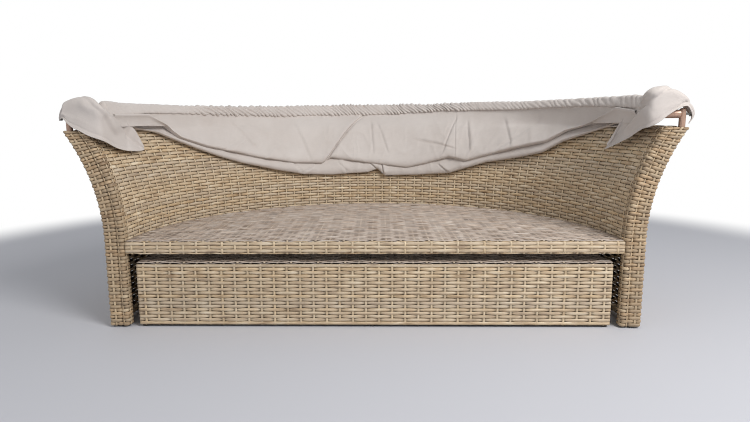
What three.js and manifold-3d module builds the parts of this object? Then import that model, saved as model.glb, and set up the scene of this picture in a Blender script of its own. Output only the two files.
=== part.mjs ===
// Outdoor daybed with canopy: a flared half-round woven wall round a seat, a footstool that
// slides in under the seat, and a canopy of four hoops that folds back onto the wall's rim.
// Millimetres, +Z up, front towards -Y. While modelling, the arm fronts lie in the plane y = 0
// and the wall's half circles are centred on x = 0, y = armDepth.
import * as THREE from 'three';
import { mergeVertices } from 'three/addons/utils/BufferGeometryUtils.js';
import Module from 'manifold-3d';

const wasm = await Module();
wasm.setup();

// Fits
const gap = 0.3;
const skinGap = 0.6;
const overrun = 5;

// Wall
const wallRadius = 870;
const wallHeight = 650;
const flareStart = 295;
const flareReach = 109;
const wallThickness = 64;
const weave = 5;
const rimCrown = 4;
const weaveFloorClear = 6;
const armDepth = 28;

// Wall frame
const baseTube = 25;
const seatTube = 25;
const rimTube = 22;
const frameBar = 16;
const ribWidth = 12;
const ribCount = 7;
const ribHeel = 8;
const armRung = 18;

// Seat
const seatHeight = 291;
const seatWeave = 6;
const railHeight = 43;
const railSet = 4;
const railWall = 2;
const barSpacing = 260;
const barCount = 5;
const barWidth = 20;
const barHeight = 38;
const centreBarHeight = 46;

// Floor glides
const glideHeight = 8;
const glideRadius = 10;
const glideChamfer = 2;

// Canopy pivot
const pivotRise = 38;
const postInset = 21;
const postRadius = 10;
const postTop = 18;
const postDome = 4;
const boltRadius = 4;
const boltReach = 12;
const boltHeadRadius = 8;
const boltHead = 6;
const nutRadius = 8;
const nutLength = 8;

// Canopy hoops
const hoopCount = 4;
const hoopRadius = 9;
const hoopInset = 38;
const hoopSidePitch = 21.3;
const hoopStackPitch = 22.5;
const hoopRimClear = 1.8;
const eyeRadius = 13;

// Canopy cloth
const openStep = THREE.MathUtils.degToRad(36);
const goreThickness = 5;
const goreLayerGap = 1;
const goreWallClear = 1.5;
const goreHoopClear = 1.3;
const goreWave = 9;
const goreWaves = 9;
const goreEnd = THREE.MathUtils.degToRad(10);
// Height that the cloth loses for each length of it that lies on the leaning wall
const goreSlopeShare = 0.92;
const flapThickness = 4;
const flapDepth = 56;
const flapFront = 126;
const flapTail = 240;
const flapWallClear = 22;
const flapRise = 70;
const flapDrop = 113;
// Over the arm's front, from the bolt head in: share of the run, the rise, the drop, the depth
const flapFrontShares = [
  [0, 0.12, 0.13, 0.1],
  [0.17, 0.64, 0.17, 0.55],
  [0.34, 0.88, 0.25, 0.85],
  [0.55, 0.95, 0.36, 1],
  [0.78, 0.9, 0.44, 1],
];
const flapCornerShares = [0.88, 0.52, 0.9];
// Back along the inside of the wall to the tip: share of the tail, the rise, the drop
const flapTailShares = [
  [0.14, 0.8, 0.64],
  [0.33, 0.62, 0.8],
  [0.55, 0.5, 0.92],
  [0.78, 0.42, 1],
  [0.92, 0.48, 1],
  [1, 0.42, 0.95],
];

// Footstool
const stoolSideClear = 31.5;
const stoolHeadroom = 18.7;
const stoolSet = 7;
const stoolBar = 16;
const stoolPost = 14;
const stoolTopWeave = 6;
const stoolFloorClear = 8;
const stoolGlideHeight = 12;
const stoolBarCount = 3;
const stoolBarSpacing = 340;
const stoolPostAngles = [45, 90, 135].map(THREE.MathUtils.degToRad);

// Facets
const arcSteps = 40;
const flareSteps = 7;
const tubeSides = 8;
const roundSides = 14;
const hoopSteps = 40;
const goreSteps = 44;
const gorePoints = 7;

// Worked out from the sizes above
const flareRise = wallHeight - flareStart;
const flareRadius = (flareReach ** 2 + flareRise ** 2) / (2 * flareReach);
const flareCentre = wallRadius + flareRadius;
const frameOuter = weave + skinGap;
const frameInner = wallThickness - weave - skinGap;
const capUnder = wallHeight - rimCrown - weave;
const seatUnder = seatHeight - seatWeave;
const innerRadius = wallRadius - wallThickness;
const armRungHeights = [seatHeight - railHeight / 2, (seatHeight + wallHeight) / 2];
const stoolHalfWidth = innerRadius - stoolSideClear;
const stoolHeight = seatUnder - gap - centreBarHeight - stoolHeadroom;
const ringOuter = wallRadius - frameInner - skinGap;
const pivotY = armDepth / 2;
const pivotHeight = wallHeight + pivotRise;
const hoopReach = wallRadius + flareReach - hoopInset + armDepth - pivotY;
const hoopEye = hoopSidePitch - gap;
const postX = wallRadius + flareReach - postInset;
const hoopHalfWidths = Array.from(
  { length: hoopCount },
  (_, i) => postX - postRadius - gap - hoopEye / 2 - i * hoopSidePitch,
);
const hoopDrops = Array.from(
  { length: hoopCount },
  (_, i) => wallHeight + hoopRimClear + hoopRadius + i * hoopStackPitch - pivotHeight,
);
const hoopAngles = hoopDrops.map((drop) => Math.atan2(drop, hoopReach));
const boltInnerX = hoopHalfWidths[hoopCount - 1] - hoopEye / 2;

const wicker = { color: 0xc2a67c, roughness: 0.75, metalness: 0 };
const seatWicker = { color: 0xb7a88c, roughness: 0.75, metalness: 0 };
const steel = { color: 0x4a3d33, roughness: 0.5, metalness: 0.6 };
const copper = { color: 0x8a6650, roughness: 0.45, metalness: 0.5 };
const zinc = { color: 0xb8b8b4, roughness: 0.4, metalness: 0.9 };
const cloth = { color: 0xc6bab0, roughness: 0.95, metalness: 0 };
const plastic = { color: 0x2a2623, roughness: 0.6, metalness: 0 };

function mesh(name, geometry, material) {
  const made = new THREE.Mesh(geometry, new THREE.MeshStandardMaterial(material));
  made.name = name;
  return made;
}

function toSolid(geometry) {
  const bare = geometry.clone();
  bare.deleteAttribute('normal');
  bare.deleteAttribute('uv');
  const merged = mergeVertices(bare, 1e-4);
  return new wasm.Manifold(new wasm.Mesh({
    numProp: 3,
    vertProperties: new Float32Array(merged.attributes.position.array),
    triVerts: new Uint32Array(merged.index.array),
  }));
}

function toGeometry(solid) {
  const data = solid.getMesh();
  const geometry = new THREE.BufferGeometry();
  geometry.setAttribute('position', new THREE.BufferAttribute(data.vertProperties, 3));
  geometry.setIndex(new THREE.BufferAttribute(data.triVerts, 1));
  geometry.computeVertexNormals();
  return geometry;
}

// Cap of a ring: triangles over its points, in ring order or against it
function capFaces(ring, withRing) {
  const normal = new THREE.Vector3();
  ring.forEach((p, i) => normal.add(new THREE.Vector3().crossVectors(p, ring[(i + 1) % ring.length])));
  const across = new THREE.Vector3().subVectors(ring[1], ring[0]).normalize();
  const up = new THREE.Vector3().crossVectors(normal, across).normalize();
  const flat = ring.map((p) => new THREE.Vector2(p.dot(across), p.dot(up)));
  return THREE.ShapeUtils.triangulateShape(flat, []).map((face) => {
    const ordered = THREE.ShapeUtils.area(face.map((i) => flat[i])) > 0;
    return ordered === withRing ? face : [face[0], face[2], face[1]];
  });
}

// Closed body through rings of equal point count, capped at both ends. The rings run
// clockwise when seen along the way they follow.
function loft(rings) {
  const count = rings[0].length;
  const last = (rings.length - 1) * count;
  const index = [];
  for (let ring = 0; ring < rings.length - 1; ring += 1) {
    for (let i = 0; i < count; i += 1) {
      const here = ring * count + i;
      const beside = ring * count + ((i + 1) % count);
      index.push(here, beside, beside + count, here, beside + count, here + count);
    }
  }
  capFaces(rings[0], false).forEach((face) => index.push(...face));
  capFaces(rings[rings.length - 1], true).forEach((face) => index.push(...face.map((i) => last + i)));
  const geometry = new THREE.BufferGeometry().setFromPoints(rings.flat());
  geometry.setIndex(index);
  geometry.computeVertexNormals();
  return geometry;
}

// Half ring round the wall's centre from a closed (radius, height) profile, which runs
// anticlockwise with the radius to the right. A front lead runs straight to frontY.
function halfRing(profile, frontY = armDepth) {
  const rings = [];
  const place = (angle, lead) => profile.map((p) => new THREE.Vector3(
    p.x * Math.cos(angle),
    armDepth + p.x * Math.sin(angle) + lead,
    p.y,
  ));
  if (frontY < armDepth) rings.push(place(0, frontY - armDepth));
  for (let step = 0; step <= arcSteps; step += 1) {
    rings.push(place((Math.PI * step) / arcSteps, 0));
  }
  if (frontY < armDepth) rings.push(place(Math.PI, frontY - armDepth));
  return loft(rings.map((ring) => ring.reverse()));
}

function rectangle(fromX, fromY, toX, toY) {
  return [
    new THREE.Vector2(fromX, fromY),
    new THREE.Vector2(toX, fromY),
    new THREE.Vector2(toX, toY),
    new THREE.Vector2(fromX, toY),
  ];
}

// Section of a tube with flats above, below and at the sides
function tubeSection(centreX, centreY, diameter) {
  const corner = diameter / 2 / Math.cos(Math.PI / tubeSides);
  return Array.from({ length: tubeSides }, (_, i) => {
    const angle = (2 * Math.PI * (i + 0.5)) / tubeSides;
    return new THREE.Vector2(centreX + corner * Math.cos(angle), centreY + corner * Math.sin(angle));
  });
}

// Outline in the (x, z) plane carried back along y
function extrudeBack(outline, holes, fromY, depth) {
  const shape = new THREE.Shape(outline);
  holes.forEach((hole) => shape.holes.push(new THREE.Path(hole)));
  const geometry = new THREE.ExtrudeGeometry(shape, { depth, bevelEnabled: false });
  geometry.rotateX(Math.PI / 2);
  geometry.translate(0, fromY + depth, 0);
  return geometry;
}

// Plate in the seat's half-moon outline
function halfMoon(radius, frontY, fromZ, height) {
  const cornerX = Math.sqrt(radius ** 2 - Math.max(frontY - armDepth, 0) ** 2);
  const points = [new THREE.Vector2(-cornerX, frontY), new THREE.Vector2(cornerX, frontY)];
  for (let step = 0; step <= arcSteps; step += 1) {
    const angle = (Math.PI * step) / arcSteps;
    const y = armDepth + radius * Math.sin(angle);
    if (y > frontY + gap) points.push(new THREE.Vector2(radius * Math.cos(angle), y));
  }
  const geometry = new THREE.ExtrudeGeometry(new THREE.Shape(points), { depth: height, bevelEnabled: false });
  geometry.translate(0, 0, fromZ);
  return geometry;
}

function block(fromX, fromY, fromZ, toX, toY, toZ) {
  const geometry = new THREE.BoxGeometry(toX - fromX, toY - fromY, toZ - fromZ);
  geometry.translate((fromX + toX) / 2, (fromY + toY) / 2, (fromZ + toZ) / 2);
  return geometry;
}

// Round pin along X between two stations, at height and depth of the canopy pivot
function pin(radius, fromX, toX) {
  const geometry = new THREE.CylinderGeometry(radius, radius, toX - fromX, roundSides);
  geometry.rotateZ(Math.PI / 2);
  geometry.translate((fromX + toX) / 2, pivotY, pivotHeight);
  return geometry;
}

function mirrored(geometry) {
  const flipped = geometry.index ? geometry.toNonIndexed() : geometry.clone();
  flipped.scale(-1, 1, 1);
  const { array } = flipped.attributes.position;
  for (let corner = 0; corner < array.length; corner += 9) {
    for (let axis = 0; axis < 3; axis += 1) {
      const kept = array[corner + 3 + axis];
      array[corner + 3 + axis] = array[corner + 6 + axis];
      array[corner + 6 + axis] = kept;
    }
  }
  flipped.computeVertexNormals();
  return flipped;
}

// Radius of the wall at a height, measured inward from its outside along the flare's normal
function wallRadiusAt(z, offset) {
  const rise = Math.max(z - flareStart, 0);
  return flareCentre - Math.sqrt((flareRadius + offset) ** 2 - rise ** 2);
}

// Points up the wall's curve, at heights that every piece on the wall shares
function wallCurve(offset, fromZ, toZ) {
  const shared = Array.from({ length: flareSteps }, (_, i) => flareStart + (flareRise * i) / flareSteps);
  const heights = [fromZ, ...shared.filter((z) => z > fromZ + gap && z < toZ - gap), toZ];
  return heights.map((z) => new THREE.Vector2(wallRadiusAt(z, offset), z));
}

// Closed outline between two offsets of the wall's curve
function wallBand(outerOffset, innerOffset, fromZ, toZ) {
  return [
    ...wallCurve(outerOffset, fromZ, toZ),
    ...wallCurve(innerOffset, fromZ, toZ).reverse(),
  ];
}

// Outline over the rim's crown, from its outer to its inner edge
function crownPoints() {
  const edge = wallHeight - rimCrown;
  const outer = wallRadiusAt(edge, 0);
  const inner = wallRadiusAt(edge, wallThickness);
  return [0, 0.25, 0.5, 0.75, 1].map((share) => new THREE.Vector2(
    THREE.MathUtils.lerp(outer, inner, share),
    edge + rimCrown * Math.sin(Math.PI * share),
  ));
}

function buildWall(daybed) {
  const skinTop = capUnder - gap;
  const baseZ = glideHeight + gap + baseTube / 2;
  const baseRadius = wallRadius - frameOuter - baseTube / 2;
  const seatRingZ = seatUnder - gap - seatTube / 2;
  const seatRingRadius = ringOuter - seatTube / 2;
  const rimZ = capUnder - gap - rimTube / 2;
  const rimRadius = wallRadiusAt(rimZ, wallThickness / 2);

  daybed.add(mesh('base_ring', halfRing(tubeSection(baseRadius, baseZ, baseTube)), steel));
  daybed.add(mesh('seat_ring', halfRing(tubeSection(seatRingRadius, seatRingZ, seatTube)), steel));
  daybed.add(mesh('rim_tube', halfRing(tubeSection(rimRadius, rimZ, rimTube)), steel));

  const outerSkin = wallBand(0, weave, weaveFloorClear, skinTop);
  daybed.add(mesh('outer_wall_weave', halfRing(outerSkin), wicker));
  const innerSkin = wallBand(wallThickness - weave, wallThickness, seatUnder, skinTop);
  daybed.add(mesh('inner_back_weave', halfRing(innerSkin), wicker));
  const rim = [
    new THREE.Vector2(wallRadiusAt(capUnder, wallThickness), capUnder),
    new THREE.Vector2(wallRadiusAt(capUnder, 0), capUnder),
    ...crownPoints(),
  ];
  daybed.add(mesh('rim_weave', halfRing(rim), wicker));

  const ribFoot = baseZ + baseTube / 2 + gap;
  const ribTop = rimZ - rimTube / 2 - gap;
  const heelZ = seatRingZ - seatTube / 2 - ribHeel;
  const legOffset = frameOuter + frameBar;
  const ribOutline = [
    ...wallCurve(frameOuter, ribFoot, ribTop),
    ...wallCurve(frameInner, heelZ, ribTop).reverse(),
    new THREE.Vector2(wallRadius - legOffset, heelZ),
    new THREE.Vector2(wallRadius - legOffset, ribFoot),
  ];
  const ribWindow = wallBand(legOffset, frameInner - frameBar, heelZ + frameBar, ribTop - frameBar);
  const rib = extrudeBack(ribOutline, [ribWindow], -ribWidth / 2, ribWidth);
  for (let i = 0; i < ribCount; i += 1) {
    const placed = mesh(`wall_rib_${i + 1}`, rib.clone(), steel);
    placed.position.y = armDepth;
    placed.rotation.z = (Math.PI * (i + 1)) / (ribCount + 1);
    daybed.add(placed);
  }

  const glideAngles = [1, 3, 5, 7].map((share) => (Math.PI * share) / 8);
  glideAngles.forEach((angle, i) => {
    const foot = mesh(`wall_glide_${i + 1}`, glide(glideHeight, glideRadius), plastic);
    foot.position.set(baseRadius * Math.cos(angle), armDepth + baseRadius * Math.sin(angle), 0);
    daybed.add(foot);
  });
}

// Round foot with a chamfered sole, standing on z = 0
function glide(height, radius) {
  const profile = [
    new THREE.Vector2(0, 0),
    new THREE.Vector2(radius - glideChamfer, 0),
    new THREE.Vector2(radius, glideChamfer),
    new THREE.Vector2(radius, height),
    new THREE.Vector2(0, height),
  ];
  const geometry = new THREE.LatheGeometry(profile, roundSides);
  geometry.rotateX(Math.PI / 2);
  return geometry;
}

function buildArms(daybed) {
  const outline = [
    ...wallCurve(0, weaveFloorClear, wallHeight - rimCrown),
    ...crownPoints().slice(1, -1),
    ...wallCurve(wallThickness, weaveFloorClear, wallHeight - rimCrown).reverse(),
  ];
  const depth = armDepth - gap;
  const cavity = wallBand(weave, wallThickness - weave, weaveFloorClear - overrun, capUnder);
  const postHole = new THREE.CylinderGeometry(
    postRadius + gap,
    postRadius + gap,
    2 * (wallHeight - capUnder),
    roundSides,
  );
  postHole.rotateX(Math.PI / 2);
  postHole.translate(postX, pivotY, wallHeight);
  const band = toSolid(extrudeBack(outline, [], 0, depth))
    .subtract(toSolid(extrudeBack(cavity, [], weave, depth)))
    .subtract(toSolid(postHole));
  const bandGeometry = toGeometry(band);

  const frameFoot = glideHeight + gap;
  const frameTop = capUnder - gap;
  const frameDepth = depth - weave - 2 * gap;
  const windowOuter = frameOuter + frameBar;
  const windowInner = frameInner - frameBar;
  const levels = [frameFoot + frameBar - armRung / 2, ...armRungHeights, frameTop - frameBar + armRung / 2];
  const windows = levels.slice(1).map((level, i) => wallBand(
    windowOuter,
    windowInner,
    levels[i] + armRung / 2,
    level - armRung / 2,
  ));
  const frame = extrudeBack(
    wallBand(frameOuter, frameInner, frameFoot, frameTop),
    windows,
    weave + gap,
    frameDepth,
  );
  daybed.add(mesh('arm_front_weave_right', bandGeometry, wicker));
  daybed.add(mesh('arm_front_weave_left', mirrored(bandGeometry), wicker));
  daybed.add(mesh('arm_frame_right', frame, steel));
  daybed.add(mesh('arm_frame_left', mirrored(frame), steel));

  const footX = wallRadius - wallThickness / 2;
  [['arm_glide_right', footX], ['arm_glide_left', -footX]].forEach(([name, x]) => {
    const foot = mesh(name, glide(glideHeight, glideRadius), plastic);
    foot.position.set(x, weave + gap + frameDepth / 2, 0);
    daybed.add(foot);
  });
}

// Bar from front to back, trimmed to a half-moon inside the ring that it meets
function trimmedBar(x, width, fromY, radius, topZ, height) {
  const bar = block(x - width / 2, fromY, topZ - height, x + width / 2, armDepth + radius, topZ);
  const inside = halfMoon(radius, 0, topZ - height - overrun, height + 2 * overrun);
  return toGeometry(toSolid(bar).intersect(toSolid(inside)));
}

function buildSeat(daybed) {
  const railBack = armDepth - gap;
  const railUnder = seatHeight - railHeight;
  const railHalf = innerRadius - gap;
  const tubeInset = weave + gap;
  const sleeve = new THREE.Shape(rectangle(railSet, railUnder, railBack, seatHeight));
  sleeve.holes.push(new THREE.Path(rectangle(
    railSet + weave,
    railUnder + weave,
    railBack - weave,
    seatHeight - weave,
  )));
  const tube = new THREE.Shape(rectangle(
    railSet + tubeInset,
    railUnder + tubeInset,
    railBack - tubeInset,
    seatHeight - tubeInset,
  ));
  tube.holes.push(new THREE.Path(rectangle(
    railSet + tubeInset + railWall,
    railUnder + tubeInset + railWall,
    railBack - tubeInset - railWall,
    seatHeight - tubeInset - railWall,
  )));
  const across = (shape) => {
    const geometry = new THREE.ExtrudeGeometry(shape, { depth: 2 * railHalf, bevelEnabled: false });
    geometry.applyMatrix4(new THREE.Matrix4().makeBasis(
      new THREE.Vector3(0, 1, 0),
      new THREE.Vector3(0, 0, 1),
      new THREE.Vector3(1, 0, 0),
    ));
    geometry.translate(-railHalf, 0, 0);
    return geometry;
  };
  daybed.add(mesh('front_rail_weave', across(sleeve), wicker));
  daybed.add(mesh('front_rail_tube', across(tube), steel));
  daybed.add(mesh('seat_weave', halfMoon(innerRadius - gap, railBack + gap, seatUnder, seatWeave), seatWicker));

  const barTop = seatUnder - gap;
  const ringInner = ringOuter - seatTube - gap;
  for (let i = 0; i < barCount; i += 1) {
    const place = i - (barCount - 1) / 2;
    const height = place === 0 ? centreBarHeight : barHeight;
    const bar = trimmedBar(place * barSpacing, barWidth, railBack + gap, ringInner, barTop, height);
    daybed.add(mesh(`seat_bar_${i + 1}`, bar, steel));
  }
}

function buildPivots(daybed) {
  const postFoot = capUnder;
  const postHead = pivotHeight + postTop;
  const profile = [
    new THREE.Vector2(0, postFoot),
    new THREE.Vector2(postRadius, postFoot),
    new THREE.Vector2(postRadius, postHead - postDome),
    new THREE.Vector2(postRadius * 0.7, postHead - postDome * 0.3),
    new THREE.Vector2(0, postHead),
  ];
  const post = new THREE.LatheGeometry(profile, roundSides);
  post.rotateX(Math.PI / 2);
  post.translate(postX, pivotY, 0);
  const outerX = postX + postRadius;
  const hole = pin(boltRadius + gap, boltInnerX - nutLength - overrun, outerX + overrun);
  const postGeometry = toGeometry(toSolid(post).subtract(toSolid(hole)));

  const headX = outerX + boltReach;
  const boltEnd = boltInnerX - nutLength - 2 * gap;
  const bolt = toGeometry(
    toSolid(pin(boltRadius, boltEnd, headX + boltHead / 2))
      .add(toSolid(pin(boltHeadRadius, headX, headX + boltHead))),
  );
  const nut = toGeometry(
    toSolid(pin(nutRadius, boltInnerX - gap - nutLength, boltInnerX - gap)).subtract(toSolid(hole)),
  );
  [['right', (g) => g], ['left', mirrored]].forEach(([side, turn]) => {
    daybed.add(mesh(`canopy_post_${side}`, turn(postGeometry), copper));
    daybed.add(mesh(`pivot_bolt_${side}`, turn(bolt), zinc));
    daybed.add(mesh(`pivot_nut_${side}`, turn(nut), zinc));
  });
}

// Half-elliptical tube between two pivot eyes, lying in the plane of its group
function hoop(halfWidth) {
  const rings = [];
  for (let step = 0; step <= hoopSteps; step += 1) {
    const angle = (Math.PI * step) / hoopSteps;
    const centre = new THREE.Vector3(halfWidth * Math.cos(angle), hoopReach * Math.sin(angle), 0);
    const outward = new THREE.Vector3(hoopReach * Math.cos(angle), halfWidth * Math.sin(angle), 0).normalize();
    rings.push(Array.from({ length: tubeSides }, (_, i) => {
      const turn = (-2 * Math.PI * i) / tubeSides;
      const point = centre.clone().addScaledVector(outward, hoopRadius * Math.cos(turn));
      point.z += hoopRadius * Math.sin(turn);
      return point;
    }));
  }
  const eye = (x) => {
    const geometry = new THREE.CylinderGeometry(eyeRadius, eyeRadius, hoopEye, roundSides);
    geometry.rotateZ(Math.PI / 2);
    geometry.translate(x, 0, 0);
    return toSolid(geometry);
  };
  const hole = new THREE.CylinderGeometry(
    boltRadius + gap,
    boltRadius + gap,
    2 * (halfWidth + hoopEye),
    roundSides,
  );
  hole.rotateZ(Math.PI / 2);
  return toGeometry(
    toSolid(loft(rings)).add(eye(halfWidth)).add(eye(-halfWidth)).subtract(toSolid(hole)),
  );
}

// Where the folded hoop crosses the upright plane at an angle round the wall: (radius, height)
function hoopAt(i, angle) {
  const across = (Math.cos(angle) / hoopHalfWidths[i]) ** 2 + (Math.sin(angle) / hoopReach) ** 2;
  const lead = armDepth - pivotY;
  const along = (2 * lead * Math.sin(angle)) / hoopReach ** 2;
  const rest = (lead / hoopReach) ** 2 - 1;
  const radius = (-along + Math.sqrt(along ** 2 - 4 * across * rest)) / (2 * across);
  const back = lead + radius * Math.sin(angle);
  return new THREE.Vector2(radius, pivotHeight + back * Math.tan(hoopAngles[i]));
}

// Way of the folded cloth from between two hoops, over the rim's edge and down the wall
function gorePath(i, angle) {
  const below = hoopAt(i, angle);
  const above = hoopAt(i + 1, angle);
  const across = new THREE.Vector2().subVectors(above, below);
  const clear = hoopRadius + goreHoopClear + goreThickness / 2;
  const step = Math.sqrt(Math.max(clear ** 2 - (across.length() / 2) ** 2, 0));
  const start = new THREE.Vector2().addVectors(below, above).multiplyScalar(0.5);
  start.add(new THREE.Vector2(-across.y, across.x).normalize().multiplyScalar(step));
  const layer = goreWallClear + goreThickness / 2 + i * (goreThickness + goreLayerGap);
  const edgeR = Math.min(wallRadiusAt(wallHeight, wallThickness) - layer, start.x - goreLayerGap);
  const edge = new THREE.Vector2(edgeR, wallHeight + layer);
  const length = (openStep / 2) * hoopReach * Math.sin(angle);
  const hanging = length - start.distanceTo(edge);
  const drops = Array.from({ length: gorePoints - 2 }, (_, at) => (hanging * (at + 1)) / (gorePoints - 2));
  return [start, edge, ...drops.map((drop) => {
    const z = edge.y - drop * goreSlopeShare;
    return new THREE.Vector2(Math.min(wallRadiusAt(z, wallThickness + layer), edgeR), z);
  })];
}

// Closed outline round a line, half the thickness to each side
function thickened(line, thickness) {
  const offsets = line.map((p, at) => {
    const before = line[Math.max(at - 1, 0)];
    const after = line[Math.min(at + 1, line.length - 1)];
    const along = new THREE.Vector2().subVectors(after, before).normalize();
    return new THREE.Vector2(-along.y, along.x).multiplyScalar(thickness / 2);
  });
  return [
    ...line.map((p, at) => p.clone().add(offsets[at])),
    ...line.map((p, at) => p.clone().sub(offsets[at])).reverse(),
  ];
}

// Cloth between two folded hoops, doubled and hanging inside the wall in soft waves
function gore(i) {
  const rings = [];
  for (let step = 0; step <= goreSteps; step += 1) {
    const angle = goreEnd + ((Math.PI - 2 * goreEnd) * step) / goreSteps;
    const path = gorePath(i, angle);
    const depthShare = Math.sin(angle);
    path.forEach((p, at) => {
      const wave = (1 - Math.cos(2 * goreWaves * angle)) / 2;
      p.x -= goreWave * depthShare * wave * (at / (gorePoints - 1)) ** 2;
    });
    rings.push(thickened(path, goreThickness).map((p) => new THREE.Vector3(
      p.x * Math.cos(angle),
      armDepth + p.x * Math.sin(angle),
      p.y,
    )));
  }
  return loft(rings);
}

// End of the cloth over an arm: round the post and the hoops' eyes, over the arm's inner corner,
// then back along the inside of the wall to its tip
function cornerFlap() {
  const tuck = flapThickness / 2;
  const outX = postX + postRadius + boltReach + boltHead;
  const front = pivotY - eyeRadius - gap - tuck;
  const innerHoop = hoopHalfWidths[hoopCount - 1];
  const clear = goreHoopClear + tuck;
  const cornerX = boltInnerX - nutLength - clear;
  const overHoops = hoopHalfWidths[0] - cornerX;
  const ring = (line, place) => thickened(line, flapThickness).map((p) => place(p.x, p.y));
  const arch = (hem, face, bottom, top, reach) => {
    const bend = (top - bottom) / 4;
    return [
      new THREE.Vector2(hem, bottom),
      new THREE.Vector2(hem + (face - hem) * 0.6, bottom + bend),
      new THREE.Vector2(face, bottom + 2 * bend),
      new THREE.Vector2(face, top - bend / 4),
      new THREE.Vector2(face + reach / 4, top - tuck),
      new THREE.Vector2(face + reach * 0.7, top - tuck),
      new THREE.Vector2(face + reach, top - 2 * tuck),
    ];
  };
  const rings = flapFrontShares.map(([along, rise, drop, depth]) => {
    const reach = flapDepth * depth;
    const line = arch(
      front - reach / 6,
      front,
      pivotHeight - flapDrop * drop,
      pivotHeight + flapRise * rise,
      reach,
    );
    return ring(line, (y, z) => new THREE.Vector3(outX - flapFront * along, y, z));
  });
  const [rise, drop, depth] = flapCornerShares;
  const corner = arch(
    0,
    0,
    pivotHeight - flapDrop * drop,
    pivotHeight + flapRise * rise,
    flapDepth * depth,
  );
  rings.push(ring(corner, (q, z) => new THREE.Vector3(
    cornerX + q * Math.SQRT1_2,
    front + q * Math.SQRT1_2,
    z,
  )));
  flapTailShares.forEach(([along, up, down]) => {
    const back = flapTail * along;
    const bottom = pivotHeight - flapDrop * down;
    const radius = wallRadiusAt(bottom, wallThickness + flapWallClear);
    const hem = Math.sqrt(radius ** 2 - Math.max(back - armDepth, 0) ** 2);
    const hoopX = innerHoop * Math.sqrt(1 - ((back - pivotY) / hoopReach) ** 2);
    const face = Math.min(hoopX - hoopEye / 2 - clear, cornerX);
    const line = arch(Math.min(hem, face), face, bottom, pivotHeight + flapRise * up, overHoops);
    rings.push(ring(line, (x, z) => new THREE.Vector3(x, back, z)));
  });
  return loft(rings);
}

function buildCanopy(daybed) {
  const pivots = new THREE.Group();
  pivots.position.set(0, pivotY, pivotHeight);
  const names = ['rear_hoop', 'second_hoop', 'third_hoop', 'front_hoop'];
  names.forEach((name, i) => {
    const placed = mesh(name, hoop(hoopHalfWidths[i]), copper);
    placed.rotation.x = hoopAngles[i];
    pivots.add(placed);
  });
  daybed.add(pivots);
  for (let i = 0; i < hoopCount - 1; i += 1) {
    daybed.add(mesh(`canopy_gore_${i + 1}`, gore(i), cloth));
  }
  const flap = cornerFlap();
  daybed.add(mesh('corner_flap_right', flap, cloth));
  daybed.add(mesh('corner_flap_left', mirrored(flap), cloth));
}

function buildFootstool(daybed) {
  const stool = new THREE.Group();
  const topUnder = stoolHeight - stoolTopWeave;
  const skinTop = topUnder - gap;
  const skinBack = stoolSet + weave;
  const frameRadius = stoolHalfWidth - weave - gap;
  const frameFront = skinBack + gap;
  const topZ = topUnder - gap - stoolBar;
  const bottomZ = stoolGlideHeight;
  const side = rectangle(stoolHalfWidth - weave, stoolFloorClear, stoolHalfWidth, skinTop);
  stool.add(mesh('stool_top_weave', halfMoon(stoolHalfWidth, stoolSet, topUnder, stoolTopWeave), wicker));
  stool.add(mesh('stool_side_weave', halfRing(side, skinBack + gap), wicker));
  stool.add(mesh('stool_front_weave', block(
    -stoolHalfWidth,
    stoolSet,
    stoolFloorClear,
    stoolHalfWidth,
    skinBack,
    skinTop,
  ), wicker));

  const loop = (z) => {
    const ring = rectangle(frameRadius - stoolBar, z, frameRadius, z + stoolBar);
    const front = block(-frameRadius, frameFront, z, frameRadius, frameFront + stoolBar, z + stoolBar);
    return toSolid(halfRing(ring, frameFront)).add(toSolid(front));
  };
  const half = stoolPost / 2;
  const post = () => block(-half, -half, bottomZ + stoolBar / 2, half, half, topZ + stoolBar / 2);
  const uprightRadius = frameRadius - stoolBar / 2;
  const cornerY = frameFront + stoolBar / 2;
  const places = [
    ...[-1, 0, 1].map((share) => [share * uprightRadius, cornerY, 0]),
    ...stoolPostAngles.map((angle) => [
      uprightRadius * Math.cos(angle),
      armDepth + uprightRadius * Math.sin(angle),
      angle,
    ]),
  ];
  let frame = loop(bottomZ).add(loop(topZ));
  places.forEach(([x, y, angle]) => {
    const upright = post();
    upright.rotateZ(angle);
    upright.translate(x, y, 0);
    frame = frame.add(toSolid(upright));
  });
  stool.add(mesh('stool_frame', toGeometry(frame), steel));

  const barFrom = frameFront + stoolBar + gap;
  const barRadius = frameRadius - stoolBar - gap;
  for (let i = 0; i < stoolBarCount; i += 1) {
    const x = (i - (stoolBarCount - 1) / 2) * stoolBarSpacing;
    const bar = trimmedBar(x, stoolBar, barFrom, barRadius, topUnder - gap, stoolBar);
    stool.add(mesh(`stool_bar_${i + 1}`, bar, steel));
  }
  places.forEach(([x, y], i) => {
    const foot = mesh(`stool_glide_${i + 1}`, glide(stoolGlideHeight - gap, stoolBar / 2), plastic);
    foot.position.set(x, y, 0);
    stool.add(foot);
  });
  daybed.add(stool);
}

const daybed = new THREE.Group();
buildWall(daybed);
buildArms(daybed);
buildSeat(daybed);
buildPivots(daybed);
buildCanopy(daybed);
buildFootstool(daybed);

// The origin lies on the floor, at the middle of the whole daybed's depth
const bounds = new THREE.Box3().setFromObject(daybed, true);
daybed.position.y = -(bounds.min.y + bounds.max.y) / 2;

export default daybed;
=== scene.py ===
import math

import bpy
import numpy as np
from mathutils import Matrix, Vector


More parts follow.
